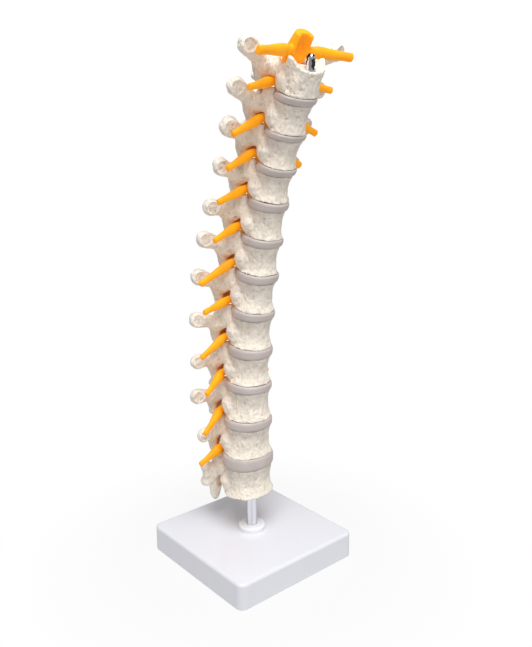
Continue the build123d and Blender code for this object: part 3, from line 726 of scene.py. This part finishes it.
def press_facets(column, level, local):
    """Rib facets pressed into both tips: a dish whose depth falls with the square of the distance
    from its middle, inside a low raised ring. Also how deep in a dish each spot lies, which the
    material darkens as painted shade."""
    centre, radius = wing_tip(column, level)
    reach = 0.66 * radius
    cup = np.zeros(len(local))
    for side in (1, -1):
        flip = np.array([side, 1, 1])
        offset = local - centre * flip
        axis = unit(np.array(FACET_FACING)) * flip
        along = offset @ axis
        away = np.linalg.norm(offset - along[:, None] * axis, axis=1)
        near = (along > 0) & (away < radius * 1.3) & (along < radius * 1.4)
        deep = np.maximum(1 - (away / reach)**2, 0)**0.6
        ring = DISH_RIM * bell(away - reach * 1.1, 0.9)
        local = local + axis * (near * (ring - DISH_DEPTH * deep))[:, None]
        cup += near * deep
    return local, cup


def weathered(local, normals, seed):
    """Dry bone: soft lumps, finer ones, upright scratches on the walls and round pits. A pit's
    depth falls with the square of the distance from its random middle."""
    lumps = 0.5 * noise(local, 6.5, seed) + 0.24 * noise(local, 2.4, seed + 1)
    scratches = 0.24 * noise(local, (1.4, 1.4, 2.6), seed + 2) * (1 - np.abs(normals[:, 2]))
    push = lumps + scratches
    chance = np.random.default_rng(seed + 3)
    middles = local[chance.integers(0, len(local), PITS)]
    radii = chance.uniform(0.7, 1.7, PITS)
    for middle, radius in zip(middles, radii):
        away = np.linalg.norm(local - middle, axis=1) / radius
        push = push - PIT_SHARE * radius * np.maximum(1 - away**2, 0)
    return local + normals * push[:, None]


def vertebra_mesh(column, level):
    """One vertebra: its skins fused, weathered and pressed with rib facets, with four numbers for
    the material: how deep in a facet a spot lies, whether it lies on the upper half of the body,
    how hollow it is, and how near the canal. The material paints shade and a highlight from them."""
    sizes = column.sizes
    place = column.body(level)
    skins = [body_skin(column, level), arch_skin(column, level)]
    skins.append(closed_skin(spinous_rings(column, level)))
    for rings in side_skins(column, level):
        skins += [closed_skin(rings), closed_skin(mirrored(rings))]
    skins = [(place.out(points), faces) for points, faces in skins]
    name = f"bone_t{level + 1:02d}"
    node = f"vertebra_t{level + 1:02d}"
    mesh = fused(name, skins, sizes.bone_step, BONE_RELAX)
    points, normals = corners_of(mesh)
    local_normals = normals @ place.axes.T
    local = weathered(place.into(points), local_normals, sizes.seed + SEEDS_EACH * level)
    cup = np.zeros(len(local))
    if level < LAST:
        local, cup = press_facets(column, level, local)
    points = place.out(local)
    set_corners(mesh, points, node)
    hollow = np.einsum("ij,ij->i", neighbour_mean(mesh, points, SOFT_ROUNDS) - points, normals)
    # Masks of the painted shade and the painted highlight on the bone.
    set_shade(mesh, "facet", cup)
    set_shade(mesh, "upper", upper_painted_shade(column, level, local))
    set_shade(mesh, "recess", np.clip(hollow / 0.9, -1, 1))
    set_shade(mesh, "inside", canal_shade_and_bounce(column, level, local, local_normals))
    return name, mesh, node


def upper_painted_shade(column, level, local):
    """1 on the upper half of a body's wall, 0 on its lower rim and behind the body: the mask of the
    painted shade under the upper rim's overhang.
    """
    height = column.height[level]
    behind = column.body_canal_front(level)
    rise = eased(-0.30 * height, 0.18 * height, local[:, 2])
    return rise * (1 - eased(behind - 7, behind - 1, local[:, 1]))


def canal_shade_and_bounce(column, level, local, normals):
    """How near the canal each spot lies, as a share of the canal's half width and depth, and less
    on spots whose normal points away from the canal's middle or that hang far below. It is the mask
    of the brown painted shadow round the canal and in the nerve openings, tinted orange by light
    bounced off the cord."""
    sizes = column.sizes
    away = np.stack([local[:, 0], local[:, 1] - column.canal_middle(level)], axis=1)
    scaled = away / (np.array([sizes.canal_width[level], sizes.canal_depth]) / 2)
    near = 1 - eased(1.0, 1.6, np.linalg.norm(scaled, axis=1))
    facing = -np.einsum("ij,ij->i", unit(away), normals[:, :2])
    low = -column.height[level] / 2
    return near * eased(-0.35, 0.35, facing) * eased(low - 5.0, low - 1.0, local[:, 2])


# Discs

DISC_BULGE = 0.9
DISC_INSET = 0.15
DISC_LIFT = 0.1


def disc_mesh(column, gap):
    """A disc: the body's outline times the sizes at its height, which run straight from one face
    to the other with a bulge that falls with a power of the distance from the middle."""
    outline = loop_rows(OUTLINE, 128)
    lift = np.array([0, 0, DISC_LIFT])
    below = column.face(gap, 1)
    above = column.face(gap - 1, -1)
    rings = []
    for step in np.linspace(-1, 1, 21):
        swell = DISC_BULGE * (1 - np.abs(step)**4)
        flat = notched(outline * (column.half(gap) + swell - DISC_INSET), outline)
        spot = np.column_stack([flat, np.zeros(len(flat))])
        mix = (step + 1) / 2
        rings.append(below.out(spot + lift) * (1 - mix) + above.out(spot - lift) * mix)
    rings = np.array(rings)
    inner = np.linspace(0, 1, 10)[:-1, None, None]
    first = rings[0].mean(0) + (rings[:1] - rings[0].mean(0)) * inner
    last = rings[-1].mean(0) + (rings[-1:] - rings[-1].mean(0)) * inner[::-1]
    corners, faces = closed_skin(np.concatenate([first, rings, last]))
    node = f"disc_t{gap:02d}_t{gap + 1:02d}"
    name = "soft_" + node
    return name, mesh_from(name, boxed(corners, node), faces), node


# Cord and nerves

CORD_NODE = "spinal_cord_with_nerves"
STUB_PLACES = ((2.5, 5.2, 6.8, 5.2), (5.4, 11.2, 7.2, 5.2), (8.2, 17.0, 6.9, 5.0))
STUB_HEIGHT = 17.0
STUB_UP = (0, 1, 0.3)
CORD_GAP = 0.7
FIRST_FAR_GAP = 4
FIRST_THICK_GAP = 9
NERVE_RELAX = 3


def cord_back(column, gap):
    """How far back the cord's middle lies at a gap."""
    return column.canal_front(gap) + CORD_GAP + column.sizes.cord_radius


def cord_rings(column):
    """The cord: a round limb through its places at the gaps, wider and oval in its stub above
    the first vertebra, with a flat cut end. The stub's places are how far forward and how high
    it lies above the first gap, and its two radii."""
    radius = column.sizes.cord_radius
    stations = []
    for gap in range(LEVELS, -1, -1):
        stations.append((*column.gap(gap).out([0, cord_back(column, gap), 0]), radius, radius))
    back = cord_back(column, 0)
    for forward, rise, wide, deep in STUB_PLACES:
        stations.append((*column.gap(0).out([0, back - forward, rise]), wide, deep))
    return limb(stations, up=STUB_UP, rows=150, columns=28, dome=0.06)


def tongue_rings(column):
    """The thick front of the stub, in the first gap's frame."""
    back = cord_back(column, 0)
    return limb([
        (0, back - 4.8, -0.2, 4.8, 4.2),
        (0, back - 5.4, 4.8, 7.0, 5.6),
        (0, back - 6.5, 10.8, 7.4, 5.0),
        (0, back - 8.2, STUB_HEIGHT, 6.9, 5.0),
    ], up=STUB_UP, rows=40, columns=36, dome=0.06)


def nerve_rings(column, gap, far=False):
    """A nerve: a limb from the cord through its opening, with a long swelling past the root and
    a slightly oval, flat cut end. The first pair is thicker and leaves from the stub. On the
    far side, from the fifth gap down, a nerve's free length is turned back and shorter."""
    sizes = column.sizes
    end = np.array([sizes.nerve_reach[gap], sizes.nerve_back[gap], sizes.nerve_rise[gap]])
    tip = sizes.nerve_radius
    root = np.array([0, cord_back(column, gap), 7.0])
    leave = np.array([13.0, column.canal_front(gap) + 2.5, 6.1])
    swell = 3.6 if gap < FIRST_THICK_GAP else 4.2
    if gap == 0:
        tip = 2.6
        swell = 3.9
        root = np.array([0, cord_back(column, 0) - 4.6, 6.8])
        leave = on_way(root, end, 0.22)
    if far and gap >= FIRST_FAR_GAP:
        turn = math.radians(sizes.far_turn)
        sine = math.sin(turn)
        cosine = math.cos(turn)
        x, y, z = (end - leave) * sizes.far_share
        end = leave + np.array([x * cosine - y * sine, x * sine + y * cosine, z])
    return column.gap(gap).out(limb([
        (*root, 2.4, 2.6),
        (*leave, 2.6, 3.0),
        (*on_way(leave, end, 0.18), swell * 0.8, swell),
        (*on_way(leave, end, 0.42), swell * 0.65, tip + 1.0),
        (*on_way(leave, end, 0.7), tip - 0.3, tip + 0.35),
        (*end, tip - 0.35, tip + 0.3),
    ], rows=48, columns=24, dome=0.02))


def stub_hollow(column, points):
    """Draws the front half of the cord's stub towards its middle line into a gutter: most at
    the middle, falling off as a bell to both sides, and growing from the stub's foot upwards.
    Also how deep in the gutter each spot lies, for the painted shade in the gutter."""
    place = column.gap(0)
    local = place.into(points)
    side = local[:, 0]
    rise = local[:, 2]
    front = local[:, 1] - cord_back(column, 0) + 5.0 + 3.2 * (rise / STUB_HEIGHT)**2
    local[:, 1] -= np.minimum(front, 0) * (0.85 * eased(0.0, 8.0, rise) * bell(side, 4.8, 4))
    gutter_shade = eased(-3.0, 3.0, rise) * bell(side, 5.0, 4) * (np.abs(side) < 9)
    return place.out(local), gutter_shade * eased(0.5, -1.5, front)


def cord_mesh(column):
    """The cord with all its nerves fused into one soft piece, a little uneven."""
    skins = [closed_skin(cord_rings(column)), closed_skin(column.gap(0).out(tongue_rings(column)))]
    for gap in range(LEVELS):
        skins.append(closed_skin(mirrored(nerve_rings(column, gap))))
        skins.append(closed_skin(nerve_rings(column, gap, far=True)))
    sizes = column.sizes
    mesh = fused("soft_cord_with_nerves", skins, sizes.nerve_step, NERVE_RELAX)
    points, normals = corners_of(mesh)
    push = 0.12 * noise(points, 7.0, sizes.seed) + 0.04 * noise(points, 2.2, sizes.seed + 1)
    points, gutter_shade = stub_hollow(column, points + normals * push[:, None])
    set_shade(mesh, "gutter_shade", gutter_shade)
    set_corners(mesh, points, CORD_NODE)
    return mesh


# Shaders

class Value:
    """A shader socket. Arithmetic on it adds the Math nodes that work it out."""

    def __init__(self, graph, socket):
        self.graph = graph
        self.socket = socket

    def __add__(self, other):
        return self.graph.math("ADD", self, other)

    def __sub__(self, other):
        return self.graph.math("SUBTRACT", self, other)

    def __mul__(self, other):
        return self.graph.math("MULTIPLY", self, other)

    __radd__ = __add__
    __rmul__ = __mul__


class Graph:
    """A material's nodes, ending in a Principled BSDF."""

    def __init__(self, name):
        self.material = bpy.data.materials.new(name)
        self.material.use_nodes = True
        self.tree = self.material.node_tree
        self.surface = self.tree.nodes["Principled BSDF"]

    def node(self, kind, settings=None, inputs=None, output=0):
        """Adds a node, makes its settings, then sets or links its sockets."""
        node = self.tree.nodes.new(kind)
        for name, value in (settings or {}).items():
            setattr(node, name, value)
        for key, value in (inputs or {}).items():
            self.put(node.inputs[key], value)
        return Value(self, node.outputs[output])

    def put(self, socket, value):
        """Sets a socket to a number or colour, or links a value to it."""
        if isinstance(value, Value):
            self.tree.links.new(value.socket, socket)
        else:
            socket.default_value = value

    def math(self, operation, *values):
        """A Math node on numbers or values."""
        return self.node("ShaderNodeMath", {"operation": operation}, dict(enumerate(values)))

    def mix(self, factor, first, second):
        """Two colours mixed by a factor."""
        inputs = {0: factor, 6: first, 7: second}
        return self.node("ShaderNodeMix", {"data_type": "RGBA"}, inputs, 2)

    def step(self, value, low, high, start=0.0, end=1.0):
        """A smooth step of a value from one number to another."""
        settings = {"interpolation_type": "SMOOTHSTEP"}
        inputs = {0: value, 1: low, 2: high, 3: start, 4: end}
        return self.node("ShaderNodeMapRange", settings, inputs)

    def places(self, stretch=(1, 1, 1)):
        """Object coordinates, in metres, stretched along each axis."""
        spots = self.node("ShaderNodeTexCoord", output=3)
        return self.node("ShaderNodeVectorMath", {"operation": "MULTIPLY"}, {0: spots, 1: stretch})

    def noise(self, scale, detail, stretch=(1, 1, 1)):
        """Noise between 0 and 1 with so many features to the metre."""
        inputs = {"Vector": self.places(stretch), "Scale": scale, "Detail": detail}
        return self.node("ShaderNodeTexNoise", inputs=inputs)

    def shade(self, name):
        """A number stored for each corner of the mesh."""
        return self.node("ShaderNodeAttribute", {"attribute_name": name}, output=2)

    def bump(self, height, distance, strength):
        """A bumped normal from a height between 0 and 1."""
        inputs = {"Strength": strength, "Distance": distance, "Height": height}
        return self.node("ShaderNodeBump", inputs=inputs)

    def clouded(self, clouds, colour, share):
        """A colour that goes darker by a share in the clouds of a noise."""
        return self.mix(self.step(clouds, 0.3, 0.7), rgba(colour), rgba(colour, share))

    def finish(self, **sockets):
        """Sets the surface's sockets, named with underscores for spaces."""
        for name, value in sockets.items():
            self.put(self.surface.inputs[name.replace("_", " ")], value)
        return self.material


def rgba(colour, share=1.0):
    """A colour with its alpha, made darker by a share."""
    return (*(part * share for part in colour), 1.0)


def bone_material(colours):
    """Ivory cast bone: mottled, grained, with fine upright streaks; painted shade on the upper half
    of the bodies, warmer painted shade in the hollows, the rib facets and the pin holes, a painted
    highlight on the ridges, and round the canal a brown painted shadow tinted orange by light
    bounced off the cord."""
    graph = Graph("bone")
    mottle = graph.noise(70, 4)
    fine = graph.noise(420, 5)
    streaks = graph.noise(600, 4, (1, 1, 0.4))
    cells = graph.node("ShaderNodeTexVoronoi", inputs={"Vector": graph.places(), "Scale": 330.0})
    holes = graph.step(cells, 0.05, 0.20, 1.0, 0.0) * graph.step(graph.noise(45, 2), 0.52, 0.64)
    recess = graph.shade("recess")
    # A noise that breaks up the painted shade on the upper half of the bodies.
    patches = 0.35 + 0.65 * graph.step(graph.noise(130, 3), 0.35, 0.62)
    ivory = rgba(colours.bone)
    colour = graph.mix(graph.step(mottle, 0.35, 0.68), ivory, rgba(colours.bone, 0.90))
    layers = (
        # Painted shade on the upper half of the bodies.
        (graph.shade("upper") * patches * 0.52, rgba(colours.bone_painted_shade)),
        # Grain and streaks in the bone's own darker colour.
        (graph.step(fine, 0.52, 0.72) * 0.3, rgba(colours.bone_grain_and_shade, 1.15)),
        (graph.step(streaks, 0.53, 0.68) * 0.3, rgba(colours.bone_grain_and_shade)),
        # Painted highlight on the ridges.
        (graph.step(recess, -0.05, -0.6) * 0.45, RIDGE_HIGHLIGHT_COLOUR),
        # Painted shade in the hollows.
        (graph.step(recess, 0.08, 0.8) * 0.6, rgba(colours.bone_grain_and_shade)),
        # Painted shade in the rib facets.
        (graph.shade("facet") * 0.4, rgba(colours.bone_grain_and_shade, 1.05)),
        # Painted shade in the pin holes.
        (holes * 0.4, rgba(colours.bone_grain_and_shade, 0.7)),
        # Painted shadow round the canal, tinted orange by light bounced off the cord.
        (graph.shade("inside") * 0.9, rgba(colours.bone_canal_shade)),
    )
    for amount, paint in layers:
        colour = graph.mix(amount, colour, paint)
    height = fine * 0.6 + streaks * 0.9 - holes * 0.5
    return graph.finish(
        Base_Color=colour,
        Roughness=0.50 + 0.18 * fine,
        Normal=graph.bump(height, 0.0014, 0.9),
    )


def disc_material(colours):
    """Soft grey plastic with faint clouds and a satin skin."""
    graph = Graph("disc")
    fine = graph.noise(800, 3)
    return graph.finish(
        Base_Color=graph.clouded(graph.noise(90, 3), colours.disc, 0.90),
        Roughness=0.36 + 0.12 * fine,
        Normal=graph.bump(fine, 0.00012, 0.5),
    )


def nerve_material(colours):
    """Soft orange plastic: slightly cloudy, deeper in places, with painted shade of a deeper orange
    in the stub's gutter and a satin skin. The small even glow is painted light that stands for the
    light that passes through it."""
    graph = Graph("nerve")
    clouds = graph.noise(110, 3)
    fine = graph.noise(900, 3)
    red, green, blue = colours.nerve
    deep = (red * 0.93, green * 0.72, blue * 0.5, 1.0)
    colour = graph.mix(graph.step(clouds, 0.40, 0.75) * 0.6, rgba(colours.nerve), deep)
    # Painted shade in the stub's gutter.
    colour = graph.mix(graph.shade("gutter_shade") * 0.6, colour, GUTTER_SHADE_COLOUR)
    return graph.finish(
        Base_Color=colour,
        Roughness=0.38 + 0.14 * fine,
        Specular_IOR_Level=0.22,
        # Painted light: a small even glow that stands for the light passing through the soft
        # plastic.
        Emission_Color=rgba(colours.nerve),
        Emission_Strength=0.20,
        Normal=graph.bump(fine, 0.00015, 0.5),
    )


def metal_material(name, colour, roughness, bands=0.0):
    """Metal with a trace of fine polishing marks round it, and darker bands along it that are
    painted reflections of dark surroundings.
    """
    graph = Graph(name)
    marks = graph.noise(1500, 2, (0.15, 0.15, 1))
    reflection_stripes = graph.step(graph.noise(330, 1, (1, 1, 0.005)), 0.44, 0.58)
    return graph.finish(
        Base_Color=graph.mix(reflection_stripes * bands, rgba(colour), DARK_REFLECTION_COLOUR),
        Metallic=1.0,
        Roughness=roughness + 0.05 * marks,
        Normal=graph.bump(marks, 0.00002, 0.4),
    )


def cap_material(colour):
    """Bright plating with painted reflections: the dark patches of a dim room in it."""
    graph = Graph("cap_metal")
    # Painted reflections of a dim room: dark patches in the plating.
    dark = graph.step(graph.noise(260, 1, (1, 1, 0.7)), 0.44, 0.50)
    tone_with_reflections = graph.mix(dark, rgba(colour), rgba(colour, 0.06))
    return graph.finish(Base_Color=tone_with_reflections, Metallic=1.0, Roughness=0.12)


def plastic_material(name, colour, roughness, coat):
    """White moulded plastic with a barely uneven skin."""
    graph = Graph(name)
    fine = graph.noise(500, 3)
    return graph.finish(
        Base_Color=graph.clouded(graph.noise(25, 2), colour, 0.985),
        Roughness=roughness + 0.05 * fine,
        Coat_Weight=coat,
        Coat_Roughness=0.09,
        Normal=graph.bump(fine, 0.00004, 0.3),
    )


def paint_node(node, material):
    """Gives a CAD node its material."""
    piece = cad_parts[node]
    for place in piece.material_slots:
        place.material = material
    if not piece.material_slots:
        piece.data.materials.append(material)


# Stage

CAMERA_PLACE = (-0.324, -0.399, 0.318)
CAMERA_ANGLES = (-40.41, 14.59, -0.36)
SENSOR = 36
FOCAL_ROWS = 734.3
VIEW_ROWS = 647
LAMPS = (
    ("key", (-0.35, -0.55, 1.40), (0, 0, 0.15), 0.9, 20.5),
    ("fill", (0.5, -1.1, 0.5), (0, 0, 0.2), 1.0, 1.0),
)
WORLD_LIGHT = 0.42
FLOOR_SIZE = 40
FLOOR_HEIGHT = -0.0002
FLOOR_GREY = (0.6, 0.6, 0.6, 1)
WHITE = (1.0, 1.0, 1.0, 1.0)


def floor_material():
    """A pale floor that looks white to the camera. It keeps a trace of the shadow near the
    object, which fades out with the distance from the middle."""
    graph = Graph("floor")
    path = graph.node("ShaderNodeLightPath")
    distance = graph.node("ShaderNodeVectorMath", {"operation": "LENGTH"}, {0: graph.places()}, 1)
    share = graph.step(distance, 0.08, 0.20, 0.88, 1.0)
    diffuse = graph.node("ShaderNodeBsdfDiffuse", inputs={"Color": FLOOR_GREY})
    white = graph.node("ShaderNodeEmission", inputs={"Color": WHITE, "Strength": 1.0})
    mixed = graph.node("ShaderNodeMixShader", inputs={0: path * share, 1: diffuse, 2: white})
    graph.put(graph.tree.nodes["Material Output"].inputs["Surface"], mixed)
    return graph.material


def matrix_at(place, side, top, back):
    """The matrix of an object at a place that looks against the last of its three axes."""
    matrix = Matrix([side, top, back]).transposed().to_4x4()
    matrix.translation = place
    return matrix


def camera_matrix():
    """The camera's place and turn: it looks down along its own axis, with a small roll."""
    turn, down, roll = (math.radians(angle) for angle in CAMERA_ANGLES)
    level = math.cos(down)
    back = np.array([math.sin(turn) * level, -math.cos(turn) * level, math.sin(down)])
    right = unit(np.cross(-back, np.array([0, 0, 1.0])))
    up = np.cross(right, -back)
    side = right * math.cos(roll) + up * math.sin(roll)
    top = up * math.cos(roll) - right * math.sin(roll)
    return matrix_at(CAMERA_PLACE, side, top, back)


def area_light(name, place, target, size, power):
    """A square soft light that shines from a place at a target."""
    lamp = bpy.data.lights.new(name, "AREA")
    lamp.size = size
    lamp.energy = power
    light = bpy.data.objects.new(name, lamp)
    back = unit(np.array(place, float) - np.array(target, float))
    side = unit(np.cross(np.array([0, 0, 1.0]), back))
    light.matrix_world = matrix_at(place, side, np.cross(back, side), back)
    bpy.context.scene.collection.objects.link(light)


def add_camera():
    """The camera, with the lens as its focal length in rows of a view."""
    lens = bpy.data.cameras.new("camera")
    lens.sensor_fit = "VERTICAL"
    lens.sensor_height = SENSOR
    lens.lens = FOCAL_ROWS * SENSOR / VIEW_ROWS
    lens.clip_start = 0.01
    camera = bpy.data.objects.new("camera", lens)
    camera.matrix_world = camera_matrix()
    bpy.context.scene.collection.objects.link(camera)
    bpy.context.scene.camera = camera


def white_world():
    """A world that is white to the camera and dimmer, but still pale, to everything else."""
    world = bpy.data.worlds.new("pale_world")
    bpy.context.scene.world = world
    world.use_nodes = True
    tree = world.node_tree
    background = tree.nodes["Background"]
    background.inputs["Color"].default_value = WHITE
    path = tree.nodes.new("ShaderNodeLightPath")
    mix = tree.nodes.new("ShaderNodeMapRange")
    tree.links.new(path.outputs["Is Camera Ray"], mix.inputs["Value"])
    mix.inputs["To Min"].default_value = WORLD_LIGHT
    mix.inputs["To Max"].default_value = 1.0
    tree.links.new(mix.outputs[0], background.inputs["Strength"])


# Operators

class SPINE_OT_bones(Operator):
    """Builds the vertebrae with their weathered surface"""
    bl_idname = "spine.bones"
    bl_label = "Vertebrae"

    def execute(self, context):
        column = Column(context.scene.spine_sizes)
        material = bone_material(context.scene.spine_colours)
        for level in range(LEVELS):
            name, mesh, node = vertebra_mesh(column, level)
            show(name, mesh, material, [node])
        return {"FINISHED"}


class SPINE_OT_discs(Operator):
    """Builds the discs between the vertebrae"""
    bl_idname = "spine.discs"
    bl_label = "Discs"

    def execute(self, context):
        column = Column(context.scene.spine_sizes)
        material = disc_material(context.scene.spine_colours)
        for gap in range(1, LEVELS):
            name, mesh, node = disc_mesh(column, gap)
            show(name, mesh, material, [node])
        return {"FINISHED"}


class SPINE_OT_nerves(Operator):
    """Builds the spinal cord with its nerves"""
    bl_idname = "spine.nerves"
    bl_label = "Cord and nerves"

    def execute(self, context):
        material = nerve_material(context.scene.spine_colours)
        mesh = cord_mesh(Column(context.scene.spine_sizes))
        show("soft_cord_with_nerves", mesh, material, [CORD_NODE])
        return {"FINISHED"}


class SPINE_OT_metal(Operator):
    """Finishes the rod, the cap, the core and the fasteners"""
    bl_idname = "spine.metal"
    bl_label = "Metal"

    def execute(self, context):
        colour = context.scene.spine_colours.metal
        # The rod gets the painted reflection bands.
        bright = metal_material("bright_metal", colour, 0.07, 0.7)
        plain = metal_material("plain_steel", tuple(0.8 * part for part in colour), 0.30)
        paint_node("stand_rod", bright)
        paint_node("core_cap", cap_material(colour))
        for node in ("core_rod", "core_washer", "base_plate_screws", "stand_washer", "stand_screw"):
            paint_node(node, plain)
        return {"FINISHED"}


class SPINE_OT_base(Operator):
    """Finishes the base, its plate and the collar"""
    bl_idname = "spine.base"
    bl_label = "Base"

    def execute(self, context):
        colours = context.scene.spine_colours
        paint_node("base_shell", plastic_material("gloss_white", colours.base, 0.22, 0.35))
        paint_node("base_collar", plastic_material("collar_white", colours.collar, 0.32, 0.1))
        paint_node("base_plate", plastic_material("plate_white", colours.base, 0.5, 0.0))
        return {"FINISHED"}


class SPINE_OT_stage(Operator):
    """Sets up the floor, the lights, the world and the camera"""
    bl_idname = "spine.stage"
    bl_label = "Stage"

    def execute(self, context):
        bpy.ops.mesh.primitive_plane_add(size=FLOOR_SIZE, location=(0, 0, FLOOR_HEIGHT))
        floor = context.object
        floor.name = "floor"
        floor.data.materials.append(floor_material())
        white_world()
        for lamp in LAMPS:
            area_light(*lamp)
        add_camera()
        context.scene.view_settings.view_transform = "Standard"
        return {"FINISHED"}


class SPINE_PT_panel(Panel):
    """The builders, sizes and colours of the spine model."""
    bl_label = "Spine Model"
    bl_idname = "SPINE_PT_panel"
    bl_space_type = "VIEW_3D"
    bl_region_type = "UI"
    bl_category = "Spine"

    def draw(self, context):
        for builder in BUILDERS:
            self.layout.operator(builder.bl_idname)
        for group in (context.scene.spine_sizes, context.scene.spine_colours):
            box = self.layout.box()
            for name in group.__annotations__:
                box.prop(group, name)


BUILDERS = (
    SPINE_OT_bones, SPINE_OT_discs, SPINE_OT_nerves, SPINE_OT_metal, SPINE_OT_base, SPINE_OT_stage)
CLASSES = (SpineSizes, SpineColours, *BUILDERS, SPINE_PT_panel)


def register():
    """Makes the classes and the scene's sizes and colours known."""
    for kind in CLASSES:
        bpy.utils.register_class(kind)
    bpy.types.Scene.spine_sizes = PointerProperty(type=SpineSizes)
    bpy.types.Scene.spine_colours = PointerProperty(type=SpineColours)


def unregister():
    """Takes them away again."""
    del bpy.types.Scene.spine_sizes
    del bpy.types.Scene.spine_colours
    for kind in reversed(CLASSES):
        bpy.utils.unregister_class(kind)


def main():
    """Builds every piece in order."""
    register()
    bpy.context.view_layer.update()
    bpy.ops.spine.bones()
    bpy.ops.spine.discs()
    bpy.ops.spine.nerves()
    bpy.ops.spine.metal()
    bpy.ops.spine.base()
    bpy.ops.spine.stage()


if __name__ == "__main__":
    main()
